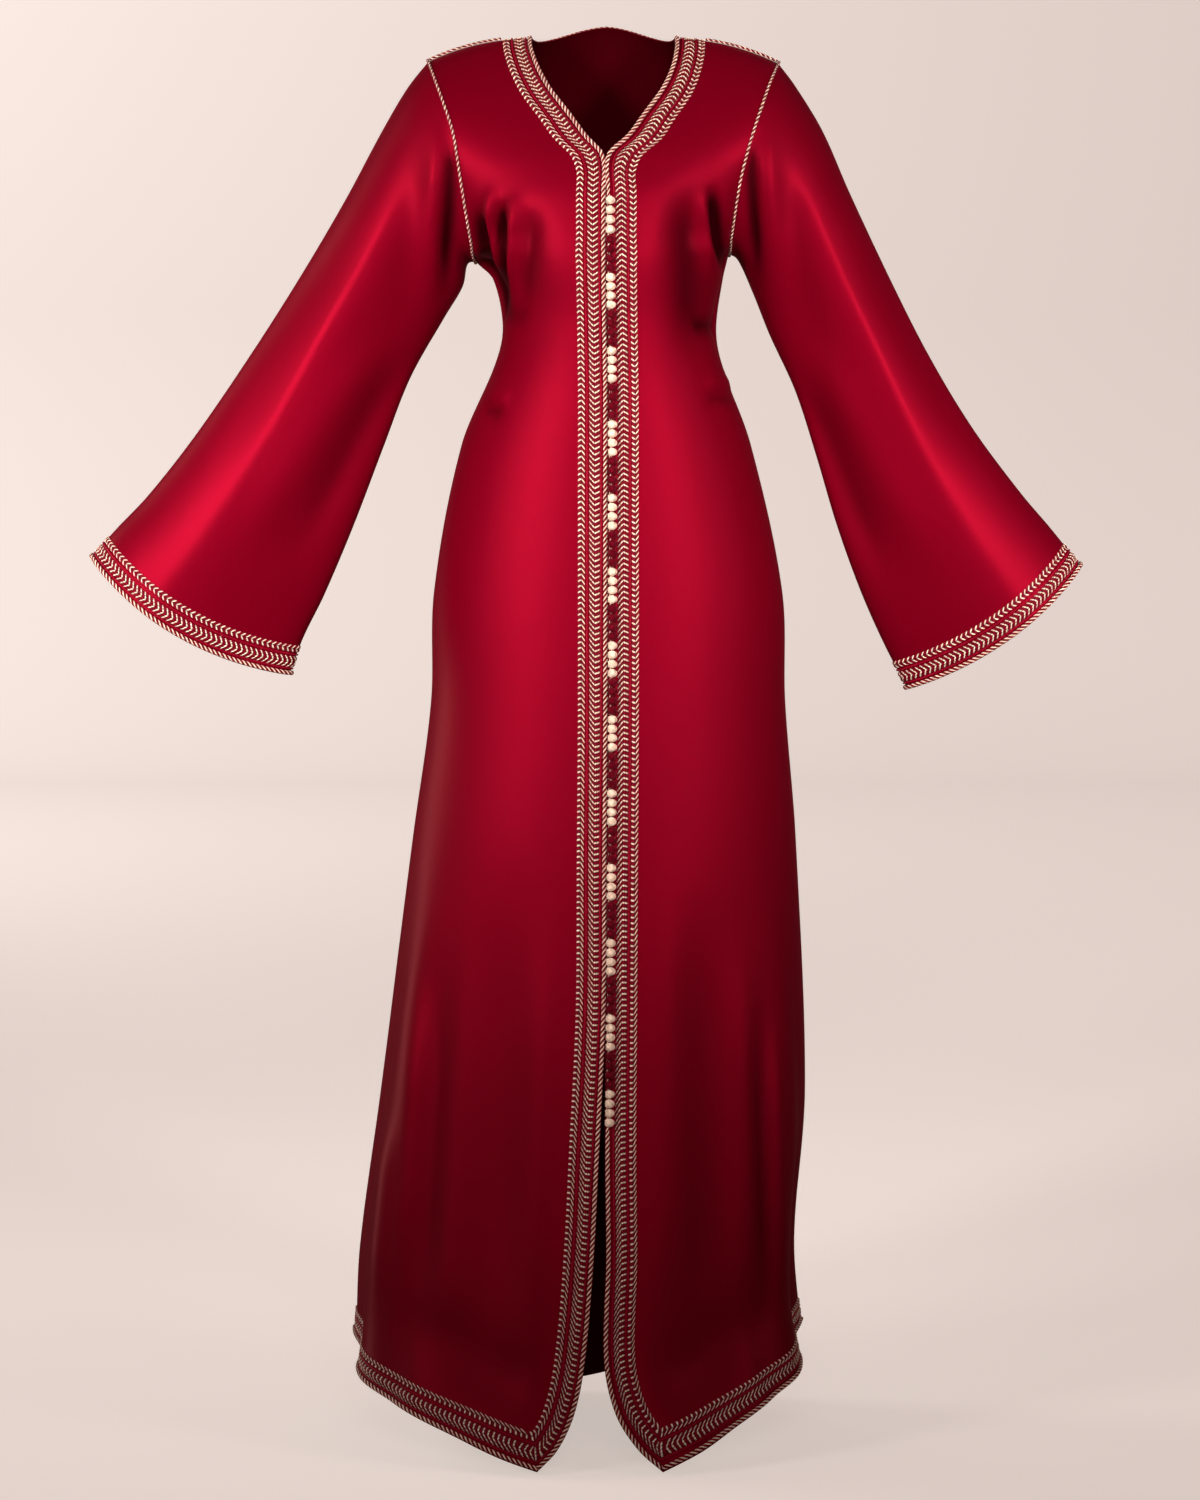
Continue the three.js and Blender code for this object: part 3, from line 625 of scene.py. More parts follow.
# Satin back
# One piece from nape to hem. Its shoulders rise over the seams to the nape in a smooth yoke, and below it
# the cloth follows the back in and falls in long folds.
YOKE_DEPTH = 128
YOKE_RISE = 54
YOKE_NAPE = 0.4  # how far down the yoke the neckline is at the middle
BAND_FOOT = 0.56  # how far down the lower border of the neck's band is there
NECK_FOOT = 0.5  # the share of the yoke's foot that the neck's columns reach
NECK_CURVE = 1.3  # power of the neckline's cosine
NECK_COLUMNS = 4
BAND_COLUMNS = (0, 7.5, 14.5, 22, 32)
PLAIN_COLUMNS = 6
BACK_HALF = NECK_COLUMNS + len(BAND_COLUMNS) - 1 + PLAIN_COLUMNS
BACK_MIDDLE = table(
    "down x y z",
    (YOKE_DEPTH, 0, 99, -116),
    (170, 0, 100, -160),
    (232, 0, 94, -230),
    (305, -1, 82, -305),
    (373, 0, 80, -373),
    (480, 1, 99, -480),
    (580, 2, 116, -580),
    (700, 1, 122, -700),
    (850, -2, 129, -850),
    (1000, -5, 139, -1000),
    (1144, -13, 151, -1142),
    (1340, -26, 171, -1334),
    (LENGTH, -34, 187, -1440),
)
BACK_FOLDS = {
    "left": table(
        "top foot start width depth",
        (0.3, 0.42, 430, 0.16, 11),
        (0.62, 0.74, 520, 0.16, -12),
    ),
    "right": table(
        "top foot start width depth",
        (0.12, 0.08, 420, 0.14, -11),
        (0.42, 0.5, 460, 0.16, 12),
        (0.74, 0.82, 560, 0.14, -9),
    ),
}
BACK_CREASES = table(
    "x0 z0 x1 z1 x2 z2 width depth",
    (-126, -150, -118, -215, -100, -300, 9, -7),
    (-112, -140, -100, -215, -84, -300, 10, 5),
    (-92, -170, -78, -250, -66, -330, 12, -4),
    (122, -160, 112, -225, 96, -305, 9, -7),
    (104, -150, 96, -220, 78, -300, 10, 5),
    (84, -190, 70, -260, 62, -330, 13, -4),
    (-92, -352, -40, -366, 18, -356, 11, -5),
    (-80, -332, -30, -344, 24, -336, 12, 4),
    (92, -372, 50, -386, -8, -382, 10, -5),
    (88, -352, 48, -362, 10, -358, 11, 3),
    (-104, -395, -60, -412, -20, -404, 10, -3),
    (-60, -560, -72, -900, -96, -1380, 24, 6),
    (-20, -620, -30, -980, -58, -1390, 20, -7),
    (30, -560, 34, -900, 22, -1390, 22, -6),
    (62, -600, 84, -960, 92, -1380, 22, 7),
    (120, -700, 140, -1000, 150, -1340, 16, -6),
    (150, -760, 166, -1020, 172, -1330, 14, 5),
    (-130, -720, -160, -1000, -186, -1350, 18, -7),
    (-160, -800, -186, -1040, -212, -1330, 15, 6),
    (-200, -1352, -120, -1380, -40, -1376, 18, 5),
    (60, -1372, 110, -1384, 170, -1340, 16, -5),
)


def plain_back(hand, place, down):
    """A place on the back below the yoke: the section from the middle to the eased side, with folds."""
    down = np.asarray(down, float)
    middle = points_of(*(read(BACK_MIDDLE, axis, down) for axis in "xyz"))
    edge = eased(side_point(hand, down, ARMHOLE_BACK), hand, down, place, ARMHOLE_BACK)
    points = section_point(middle, edge, read(ARC, "degrees", down), place)
    return folded(points, BACK_FOLDS[hand], place, down)


def neck_corner(hand):
    """Where the neck's corner is on the shoulder line, from the middle to the armhole."""
    return front_point(hand, 0, 0)[0] / side_point(hand, 0.0, ARMHOLE_BACK)[0]


def seam_line(hand, u):
    """The shoulder seam from the armhole to the neck's corner, carried on up to the middle."""
    corner, at_corner = front_point(hand, 0, 0), neck_corner(hand)
    seam = front_point(hand, np.clip((u - at_corner) / (1 - at_corner), 0, 1), 0)
    near = np.clip(u / at_corner, 0, 1)
    lift = 1 - mix(smooth(near), near * near, 0.5)
    neck = points_of(corner[0] * u / at_corner, corner[1], mix(corner[2], YOKE_RISE, lift))
    return np.where((u >= at_corner)[..., None], seam, neck)


def yoke_patch(hand, u, v):
    """A smooth patch between its four border lines: the two pairs of borders blended across it, less their
    four corners blended both ways."""
    whole = math.radians(read(ARC, "degrees", float(YOKE_DEPTH)))

    def foot_line(share):
        """The back at the yoke's foot, by its share of the way out to the side."""
        place = np.arcsin(share * math.sin(whole)) / whole
        return plain_back(hand, place, np.full(np.shape(share), YOKE_DEPTH))

    zero, one = np.zeros_like(u), np.ones_like(u)
    top, foot = seam_line(hand, zero), foot_line(zero)
    turn = math.pi / 2 * v
    middle_z = mix(foot[..., 2], top[..., 2], np.cos(turn))
    middle = points_of(0, mix(top[..., 1], foot[..., 1], np.sin(turn)), middle_z)
    armhole = side_point(hand, YOKE_DEPTH * v, ARMHOLE_BACK)
    fall, away = smooth(v)[..., None], smooth(u)[..., None]
    corners = mix(mix(top, foot, fall), mix(seam_line(hand, one), foot_line(one), fall), away)
    return mix(seam_line(hand, u), foot_line(u), fall) + mix(middle, armhole, away) - corners


def back_half(hand, column, down):
    """Half the back. Over the yoke its columns start on the neckline and the shoulder seam, cross the outer
    border of the neck's band, and reach the yoke's foot."""
    corner = neck_corner(hand)
    widen = BAND_WIDTH / abs(side_point(hand, 0.0, ARMHOLE_BACK)[0])
    side_share = BAND_WIDTH / YOKE_DEPTH
    inner = np.array(BAND_COLUMNS) / band_speed(hand, 0.0)
    places = np.concatenate([inner, mix(inner[-1], 1, np.arange(1, PLAIN_COLUMNS + 1) / PLAIN_COLUMNS)])
    share = np.interp(column - NECK_COLUMNS, np.arange(len(places)), places)
    turn = math.pi / 2 * np.clip(column / NECK_COLUMNS, 0, 1)
    rise = np.maximum(np.cos(turn), 0) ** NECK_CURVE
    beyond = column > NECK_COLUMNS
    top_u = np.where(beyond, mix(corner, 1, share), corner * np.sin(turn))
    top_v = np.where(beyond, 0, YOKE_NAPE * rise)
    border_u = np.where(beyond, mix(corner + widen, 1, share), (corner + widen) * np.sin(turn))
    border_v = np.where(beyond, side_share, mix(side_share, BAND_FOOT, rise))
    foot = np.where(beyond, mix(NECK_FOOT, 1, share), NECK_FOOT * column / NECK_COLUMNS)
    whole = math.radians(read(ARC, "degrees", float(YOKE_DEPTH)))
    foot_u = np.sin(whole * foot) / math.sin(whole)
    part = np.clip(down / BAND_WIDTH, 0, 1)
    rest = np.clip((down - BAND_WIDTH) / (YOKE_DEPTH - BAND_WIDTH), 0, 1)
    u = np.where(down < BAND_WIDTH, mix(top_u, border_u, part), mix(border_u, foot_u, rest))
    v = np.where(down < BAND_WIDTH, mix(top_v, border_v, part), mix(border_v, 1, rest))
    place = mix(foot, column / BACK_HALF, smooth((down - YOKE_DEPTH) / FOLD_FADE))
    yoke = yoke_patch(hand, u, v)
    below = plain_back(hand, place, np.maximum(down, YOKE_DEPTH))
    return np.where((down < YOKE_DEPTH)[..., None], yoke, below)


BACK_STEPS = 4
back_columns = np.linspace(-BACK_HALF, BACK_HALF, 2 * BACK_HALF * BACK_STEPS + 1)


def back_cloth():
    """The back's grid: both halves side by side, with creases that fade out at the yoke, sides and hem."""
    column, down = np.meshgrid(back_columns, np.linspace(0, LENGTH, ROWS))
    halves = [back_half(hand, np.abs(column), down) for hand in ("left", "right")]
    cloth = Cloth(np.where((column < 0)[..., None], *halves))
    seam = smooth((BACK_HALF - np.abs(column)) / 0.8) * smooth((down - 40) / 60)
    seam = seam * smooth((LENGTH - down) / HEM_FADE)
    push, hollow = crease_push(cloth.points, BACK_CREASES)
    return cloth.moved(push * seam, hollow * seam)


cloths["back"] = back_cloth()

# Satin sleeves
# Two wide sleeves, each one piece sewn into its armhole. They widen to the cuff, whose lower corner hangs
# lowest, and their front and back sag past the straight line between the upper and lower edge.
SLEEVE_LENGTH = 622
SEAM_FADE = 150
SLEEVE_ROWS = 105
SLEEVE_STEP = SLEEVE_LENGTH / (SLEEVE_ROWS - 1)
SLEEVE_COLUMNS = 84
SLEEVES = {
    "left": table(
        "along top_x top_z low_x low_z depth narrow bow",
        (0, -187, -20, -137, -230, 76, 0, 0),
        (30, -209, -48, -146, -233, 75, 0, 0),
        (75, -235, -92, -151, -256, 71, 0.2, 2),
        (145, -274, -165, -171, -290, 65, 0.5, 4),
        (240, -323, -248, -206, -352, 58, 0.7, 7),
        (340, -376, -331, -234, -424, 54, 0.8, 11),
        (440, -433, -414, -266, -508, 52, 0.8, 16),
        (520, -481, -475, -296, -579, 51, 0.7, 18),
        (583, -517, -513, -319, -626, 50, 0.6, 20),
        (SLEEVE_LENGTH, -541, -541, -333, -664, 49, 0.5, 22),
    ),
    "right": table(
        "along top_x top_z low_x low_z depth narrow bow",
        (0, 180, -22, 128, -222, 76, 0, 0),
        (30, 198, -46, 138, -229, 75, 0, 0),
        (75, 226, -92, 153, -262, 71, 0.2, 2),
        (145, 255, -158, 171, -307, 65, 0.5, 4),
        (240, 296, -245, 198, -366, 58, 0.7, 7),
        (340, 338, -328, 220, -434, 54, 0.8, 11),
        (440, 385, -406, 242, -508, 52, 0.8, 13),
        (520, 434, -472, 267, -577, 51, 0.7, 15),
        (572, 467, -511, 291, -631, 50, 0.6, 16),
        (SLEEVE_LENGTH, 498, -550, 316, -679, 49, 0.5, 16),
    ),
}
SLEEVE_CREASES = {
    "left": {
        "front": table(
            "x0 z0 x1 z1 x2 z2 width depth",
            (-157, -70, -163, -180, -168, -285, 9, -8),
            (-172, -80, -180, -190, -186, -300, 13, 5),
            (-192, -90, -210, -200, -222, -330, 18, -3),
            (-200, -310, -260, -400, -330, -560, 16, -5),
            (-226, -300, -300, -400, -390, -560, 22, 4),
            (-250, -180, -330, -300, -420, -480, 30, -4),
        ),
        "back": table(
            "x0 z0 x1 z1 x2 z2 width depth",
            (-160, -90, -166, -190, -170, -280, 10, -7),
            (-176, -90, -186, -190, -192, -290, 13, 5),
            (-210, -300, -270, -400, -340, -580, 18, -5),
            (-250, -240, -320, -350, -410, -560, 24, 5),
        ),
    },
    "right": {
        "front": table(
            "x0 z0 x1 z1 x2 z2 width depth",
            (146, -70, 150, -160, 158, -280, 8, -7),
            (162, -80, 168, -170, 178, -290, 12, 5),
            (184, -120, 200, -220, 226, -360, 17, -4),
            (196, -330, 240, -430, 300, -590, 15, -5),
            (216, -310, 270, -420, 350, -580, 20, 4),
            (250, -190, 310, -300, 400, -470, 28, -4),
        ),
        "back": table(
            "x0 z0 x1 z1 x2 z2 width depth",
            (148, -80, 154, -170, 162, -270, 9, -7),
            (166, -80, 174, -180, 184, -290, 12, 5),
            (204, -310, 250, -420, 310, -590, 17, -5),
            (236, -240, 290, -350, 370, -560, 24, 5),
        ),
    },
}


def sleeve_section(hand, along, turn):
    """An oval round the line from the upper to the lower edge, narrower below, hanging past that line."""
    top_x, top_z, low_x, low_z, depth, narrow, bow = (
        read(SLEEVES[hand], name, along)
        for name in ("top_x", "top_z", "low_x", "low_z", "depth", "narrow", "bow")
    )
    chord_x, chord_z = low_x - top_x, low_z - top_z
    out = unit(np.stack([-np.abs(chord_z), -np.abs(chord_x)], -1))
    outward = -1 if hand == "right" else 1
    drop = (1 - np.cos(turn)) / 2
    half = depth * (1 - narrow * np.maximum(drop - 0.35, 0))
    sag = bow * np.sin(turn) ** 2
    return points_of(
        top_x + chord_x * drop + outward * out[..., 0] * sag,
        -half * np.sin(turn),
        top_z + chord_z * drop + out[..., 1] * sag,
    )


def armhole_down(hand, turn):
    """How far down the armhole a turn round the sleeve meets it, the back half as the front one."""
    angle = np.where(turn <= math.pi, turn, 2 * math.pi - turn)
    downs = np.linspace(0, ARMPIT, 400)
    return np.interp(angle, armhole_angle(hand, downs), downs)


def sleeve_point(hand, turn, along):
    """The section's point, drawn near the seam to the armhole's own oval."""
    down = armhole_down(hand, turn)
    depth = np.where(turn <= math.pi, ARMHOLE_FRONT, ARMHOLE_BACK)
    angle = np.where(turn <= math.pi, turn, 2 * math.pi - turn)
    column = SIDES[hand]
    seam = points_of(read(column, "x", down), depth * np.sin(angle), read(column, "z", down))
    stray = seam - sleeve_section(hand, np.zeros_like(along), turn)
    share = np.maximum(1 - along / SEAM_FADE, 0) ** 2
    return sleeve_section(hand, along, turn) + stray * share[..., None]


def sleeve_cloth(hand):
    """A sleeve's grid: even turns round and even rows to the cuff, with creases that fade out at both ends,
    the front's on its front half and the back's on its back half."""
    turns = np.linspace(0, 2 * math.pi, SLEEVE_COLUMNS + 1)[:-1]
    turn, along = np.meshgrid(turns, np.linspace(0, SLEEVE_LENGTH, SLEEVE_ROWS))
    cloth = Cloth(sleeve_point(hand, turn, along), closed=True, flipped=hand == "left")
    creases = SLEEVE_CREASES[hand]
    ahead = smooth(np.sin(turn) * 2)
    behind = smooth(-np.sin(turn) * 2)
    sides = ((creases["front"], ahead), (creases["back"], behind))
    push, hollow = sum(np.stack(crease_push(cloth.points, rows)) * share for rows, share in sides)
    fade = smooth(along / 15) * smooth((SLEEVE_LENGTH - along) / 60)
    return cloth.moved(push * fade, hollow * fade)


for hand in ("left", "right"):
    cloths["sleeve_" + hand] = sleeve_cloth(hand)

# Flat size and cut area of each panel, in metres.
CUTS = {
    "front_left": ((0.36, 1.53), 0.365),
    "front_right": ((0.335, 1.53), 0.348),
    "back": ((0.71, 1.5), 0.708),
    "sleeve_left": ((0.58, 0.63), 0.26),
    "sleeve_right": ((0.56, 0.62), 0.247),
}
for name, cloth in cloths.items():
    panel = wall_of_cloth("satin_" + name, cloth, [satin, satin_reverse_painted_shade])
    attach(panel, "root")
    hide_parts(name)

# Braids along the edges
# Three braids of cream and wine thread are sewn side by side along every edge: a twisted rope on the edge
# itself, a wide flat plait and a narrow one, with a thin red cord laid between each two.
LAY_CLEAR = 0.1
PITCH = 5.75


def spun_effect():
    """Puts out thread colour that varies from strand to strand, darkened by painted shade in the gaps between
    strands, its roughness, and the height of the fine yarns that each strand is spun from."""
    group, start, end = effect(
        "spun_thread",
        {
            "Light": ("NodeSocketColor", (0.8, 0.6, 0.4, 1)),
            "Dark": ("NodeSocketColor", (0.6, 0.4, 0.25, 1)),
            "Gap": ("NodeSocketColor", (0.05, 0.005, 0.005, 1)),
            "Dullness": ("NodeSocketFloat", 0.5),
        },
        {"Color": "NodeSocketColor", "Roughness": "NodeSocketFloat", "Height": "NodeSocketFloat"},
    )
    place = node(group, "ShaderNodeTexCoord").outputs
    patch = node(group, "ShaderNodeTexNoise", {"Vector": place["Object"], "Scale": 420.0, "Detail": 2.0})
    strand = noise(group, place["UV"], (500, 3000, 1), 1.0)
    tone = blend(group, patch.outputs["Fac"], start.outputs["Dark"], start.outputs["Light"])
    # Painted shade in the gaps between strands, stored on the mesh, darkens the colour towards the gap
    # colour.
    gap = node(group, "ShaderNodeAttribute", attribute_name="shade").outputs["Fac"]
    rise = {"Value": gap, "From Min": 0.4, "From Max": 0.95}
    deep = node(group, "ShaderNodeMapRange", rise, interpolation_type="SMOOTHSTEP").outputs[0]
    group.links.new(blend(group, deep, tone, start.outputs["Gap"]), end.inputs["Color"])
    group.links.new(scaled(group, strand, 0.2, start.outputs["Dullness"]), end.inputs["Roughness"])
    group.links.new(strand, end.inputs["Height"])
    return group


spun = spun_effect()
# Each thread's gap colour is the painted shade between its strands.
cream_thread = finish_of(
    "cream_thread",
    spun,
    {
        "Light": (0.97, 0.76, 0.58, 1),
        "Dark": (0.8, 0.53, 0.37, 1),
        "Gap": (0.07, 0.01, 0.008, 1),
        "Dullness": 0.42,
    },
    0.0004,
    Sheen_Weight=0.2,
    Specular_IOR_Level=0.4,
)
RED_SHINE = {"Sheen_Weight": 0.1, "Sheen_Tint": (1, 0.1, 0.15, 1), "Specular_Tint": (1.0, 0.1, 0.15, 1)}
wine_thread = finish_of(
    "wine_thread",
    spun,
    {
        "Light": (0.24, 0.001, 0.014, 1),
        "Dark": (0.12, 0.0005, 0.007, 1),
        "Gap": (0.02, 0.0, 0.001, 1),
        "Dullness": 0.42,
    },
    0.0003,
    Specular_IOR_Level=0.3,
    **RED_SHINE,
)
red_cord = finish_of(
    "red_cord",
    spun,
    {"Light": (0.28, 0.001, 0.014, 1), "Dark": (0.17, 0.0005, 0.008, 1), "Dullness": 0.35},
    0.0002,
    Specular_IOR_Level=0.4,
    **RED_SHINE,
)
dark_thread = finish_of(
    "dark_wine_thread",
    spun,
    {
        "Light": (0.12, 0.0005, 0.007, 1),
        "Dark": (0.05, 0.0002, 0.003, 1),
        "Gap": (0.008, 0.0, 0.0005, 1),
        "Dullness": 0.45,
    },
    0.0003,
    Specular_IOR_Level=0.3,
    **RED_SHINE,
)
THREADS = [cream_thread, wine_thread, red_cord, dark_thread]
IN_CREAM, IN_WINE, IN_RED, IN_DARK = range(4)


class Bundle:
    """Sewn things gathered for one mesh: points, the painted shade of each in the gaps between strands,
    faces, their corners' UVs and each face's thread."""

    def __init__(self):
        self.points, self.shade, self.faces, self.uvs, self.threads, self.count = [], [], [], [], [], 0

    def add(self, points, faces, uvs, threads, shade=0.0):
        """Takes in one more sewn thing, its faces numbered on from those before it."""
        self.points.append(points)
        self.shade.append(np.broadcast_to(shade, len(points)))
        self.faces.append(faces + self.count)
        self.uvs.append(uvs)
        self.threads.append(threads)
        self.count += len(points)

    def made(self, name, sharp=60):
        """All of it as one mesh piece, the four-cornered faces first."""
        order = [k for size in (4, 3) for k, faces in enumerate(self.faces) if faces.shape[1] == size]
        blocks = [self.faces[k] for k in order]
        uvs = np.concatenate([self.uvs[k].reshape(-1, 2) for k in order])
        threads = np.concatenate([self.threads[k] for k in order])
        points, shade = np.concatenate(self.points), np.concatenate(self.shade)
        return mesh_object(name, points, blocks, uvs, THREADS, threads, sharp, shade)


def add_tube(bundle, skin, threads, closed, shade=0.0):
    """A tube from rings of points, its last ring joined to the first or both ends closed by a fan round
    their middle. threads has one number for each face between rings and round, shade one for each point, the
    painted shade in the gaps between strands."""
    rings, around = skin.shape[:2]
    number = np.arange(rings * around).reshape(rings, around)
    beside = np.roll(number, -1, axis=1)
    after = np.roll(number, -1, axis=0) if closed else number[1:]
    after_beside = np.roll(beside, -1, axis=0) if closed else beside[1:]
    last = rings if closed else rings - 1
    quads = np.stack([number[:last], after, after_beside, beside[:last]], -1).reshape(-1, 4)
    v, u = np.meshgrid(np.arange(last), np.arange(around), indexing="ij")
    size = np.linalg.norm(skin[1, 0] - skin[0, 0])
    wide = np.linalg.norm(skin[0, 1] - skin[0, 0])
    corners = ((0, 0), (0, 1), (1, 1), (1, 0))
    uv = np.stack([np.stack([(u + a) * wide, (v + b) * size], -1) for a, b in corners], 2)
    shade = np.broadcast_to(shade, skin.shape[:2]).ravel()
    bundle.add(skin.reshape(-1, 3), quads, uv.reshape(-1, 2), threads[:last].ravel(), shade)
    if closed:
        return
    for ring, turned, thread in ((skin[0], False, threads[0]), (skin[-1], True, threads[-1])):
        points = np.concatenate([ring, ring.mean(axis=0, keepdims=True)])
        here = np.arange(around)
        there = (here + 1) % around
        fan = np.stack([here, there, np.full(around, around)], -1)
        bundle.add(points, fan[:, ::-1] if turned else fan, np.zeros((3 * around, 2)), thread)


def even_places(cloth, way, inward):
    """The way's own length at a distance from the edge, and a function from length run to place on it."""
    place = np.linspace(0.0, 1.0, 1500)
    points, _ = cloth.lay(*way(place, np.full_like(place, inward)))
    run = run_lengths(points, 0)
    return run[-1], lambda lengths: np.interp(lengths, run, place)


CREAM_SHARE = 0.4  # of a pitch; the wine leg has the rest
WINE_LOW = 0.65  # a wine leg's height to a cream one's
# How dark the painted shade between a leg's stitches is, as a share of the full gap shade.
STITCH_SHADE = 0.8
PLAIT_FADE = 8


def add_plait(bundle, cloth, way, inward, half, height, lean, stitches, closed=False):
    """A flat plait whose legs lie like arrowheads. Each pitch is one cream and one wine leg of three rows.
    A row is drawn ahead or behind by the distance from the plait's middle times lean, the surface is a low
    arch, and each leg is a ridge, lower at the middle, where the legs cross. The gaps between legs and
    between a leg's stitches get painted shade."""
    columns = 4 * stitches + 1 if stitches > 1 else 7
    length, place_of = even_places(cloth, way, inward)
    pitches = max(round(length / PITCH), 1)
    rows = 6 * pitches
    row = np.arange(rows if closed else rows + 1)[:, None]
    run = (row // 6 + np.interp(row % 6, (0, 3, 6), (0, CREAM_SHARE, 1))) * length / pitches
    angle = np.linspace(math.pi, 0, columns)[None, :]
    ridge = np.abs(np.sin(math.pi * row / 3)) * np.where(row % 6 < 3, 1, WINE_LOW)
    across = half * np.cos(angle) * (0.92 + 0.08 * ridge)
    notch = 1 - 0.3 * np.exp(-((np.cos(angle) / 0.22) ** 2))
    lift = LAY_CLEAR + height * np.sin(angle) ** 0.7 * (0.62 + 0.38 * ridge) * notch
    drawn = lean * np.abs(across) ** 1.15 / half**0.15
    if closed:
        run = (run + drawn) % length
        inside = place_of(run)
    else:
        fade = smooth(run / PLAIT_FADE) * smooth((length - run) / PLAIT_FADE)
        inside = place_of(np.clip(run + drawn * fade, 0, length))
    points, normals = cloth.lay(*way(inside, inward + across))
    skin = points + normals * lift[..., None]
    legs = (np.arange(rows) // 3 % 2)[:, None] + np.zeros((1, columns), int)
    between = np.abs(np.linspace(-stitches, stitches, columns))
    # Painted shade: darkest in the gaps between legs and between a leg's stitches.
    shade = np.maximum(1 - np.abs(np.sin(math.pi * row / 3)), STITCH_SHADE * np.cos(math.pi * between) ** 2)
    add_tube(bundle, orient(skin), np.concatenate([legs, legs[-1:]]), closed, shade)


def orient(skin):
    """The rings as they are, or each the other way round, so that the tube's faces point out."""
    mid = skin.shape[0] // 2
    ring = skin[mid]
    ahead = skin[min(mid + 1, len(skin) - 1)].mean(axis=0) - ring.mean(axis=0)
    turn = np.cross(ring - ring.mean(axis=0), np.roll(ring, -1, axis=0) - ring.mean(axis=0)).sum(axis=0)
    return skin if np.dot(turn, ahead) < 0 else skin[:, ::-1]


RINGS_PER_TURN = 12
ROPE_STRANDS, ROPE_TURN = 6, 16.5
ROPE_FLAT = 0.78  # a rope's height to its width, as it is sewn down


def twisted_skin(centre, side, up, run, radius, turn_length, strands, flat=1.0):
    """A twisted rope: two points round for each strand, drawn in where strands meet, turning as it runs."""
    own = np.arange(2 * strands) * math.pi / strands
    lobe = 0.8 + 0.2 * np.abs(np.sin(strands * own / 2))
    angle = own[None, :] + 2 * math.pi * run[:, None] / turn_length
    reach = radius[:, None] * lobe[None, :]
    return (
        centre[:, None, :]
        + side[:, None, :] * (reach * np.cos(angle))[..., None]
        + up[:, None, :] * (reach * np.sin(angle) * flat)[..., None]
    )


def rope_threads(rings, strands):
    """Cream and wine strands by turns, two faces each."""
    own = np.where(np.arange(2 * strands) // 2 % 2, IN_WINE, IN_CREAM)
    return np.tile(own, (rings, 1))


def strand_gap_shade(strands):
    """Painted shade for the points round a rope: every second one, where two strands meet."""
    return np.arange(2 * strands) % 2 == 0


def add_rope(bundle, cloth, way, inward, radius, closed=False, thin=None):
    """The twisted rope on the edge. thin gives its thickness by place on the way, as a share."""
    length, place_of = even_places(cloth, way, inward)
    turns = max(round(length / ROPE_TURN), 1)
    rings = RINGS_PER_TURN * turns
    run = np.arange(rings if closed else rings + 1) / rings * length
    place = place_of(run)
    radii = radius * (thin(place) if thin else np.ones_like(place))
    points, normals = cloth.lay(*way(place, np.full_like(place, inward)))
    ahead = np.gradient(points, axis=0)
    side = unit(np.cross(normals, ahead))
    centre = points + normals * (LAY_CLEAR + radii * ROPE_FLAT)[:, None]
    skin = twisted_skin(centre, side, normals, run, radii, length / turns, ROPE_STRANDS, ROPE_FLAT)
    add_tube(bundle, orient(skin), rope_threads(len(run), ROPE_STRANDS), closed, strand_gap_shade(ROPE_STRANDS))


CORD_STEP = 4.5


def add_cord(bundle, cloth, way, inward, radius, closed=False):
    """A plain thin cord laid between two braids."""
    length, place_of = even_places(cloth, way, inward)
    rings = max(round(length / CORD_STEP), 2)
    run = np.arange(rings if closed else rings + 1) / rings * length
    place = place_of(run)
    points, normals = cloth.lay(*way(place, np.full_like(place, inward)))
    side = unit(np.cross(normals, np.gradient(points, axis=0)))
    angle = np.arange(6) * math.pi / 3
    skin = (points + normals * (LAY_CLEAR + radius))[:, None, :] + radius * (
        side[:, None, :] * np.cos(angle)[None, :, None] + normals[:, None, :] * np.sin(angle)[None, :, None]
    )
    add_tube(bundle, orient(skin), np.full((len(run), 6), IN_RED), closed)


# Where each braid lies, in from the edge. On the right front the buttons' row pushes the plaits further in.
LAYOUT = {
    "left": {"rope": 2.6, "inner_cord": 6.9, "wide": 13.6, "outer_cord": 21.2, "narrow": 27.2},
    "right": {"rope": 2.6, "inner_cord": 8.6, "wide": 15.6, "outer_cord": 22.6, "narrow": 28.2},
}
WIDE_HALF, WIDE_HEIGHT = 5.5, 2.4
NARROW_HALF, NARROW_HEIGHT = 3.7, 2.0
ROPE_RADIUS, CORD_RADIUS = 2.4, 0.9


def braid_band(name, node_name, cloth, way, layout, leans, closed=False, thin=None):
    """The five braids and cords of one edge, joined in one piece."""
    bundle = Bundle()
    add_rope(bundle, cloth, way, layout["rope"], ROPE_RADIUS, closed=closed, thin=thin)
    add_cord(bundle, cloth, way, layout["inner_cord"], CORD_RADIUS, closed)
    add_plait(bundle, cloth, way, layout["wide"], WIDE_HALF, WIDE_HEIGHT, leans[0], 3, closed)
    add_cord(bundle, cloth, way, layout["outer_cord"], CORD_RADIUS, closed)
    add_plait(bundle, cloth, way, layout["narrow"], NARROW_HALF, NARROW_HEIGHT, leans[1], 1, closed)
    piece = bundle.made(name)
    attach(piece, "root")
    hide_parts(node_name)
    return piece


def band_column(inward):
    """The grid column at a distance in from the edge."""
    return np.interp(inward, band_inward, np.arange(BAND_STEPS + 1))


def front_way(place, inward):
    """Down the front's edge, from the shoulder seam to the mitre at the hem's corner."""
    return place * (LENGTH - inward) / ROW_STEP, band_column(inward)


def front_hem_way(place, inward):
    """Along the hem, from the mitre to the side seam."""
    last = BAND_STEPS + PLAIN_STEPS
    return (LENGTH - inward) / ROW_STEP, mix(band_column(inward), last, place)


def back_hem_way(place, inward):
    """Along the back's hem, from the left side seam to the right one."""
    return (LENGTH - inward) / ROW_STEP, place * (len(back_columns) - 1)


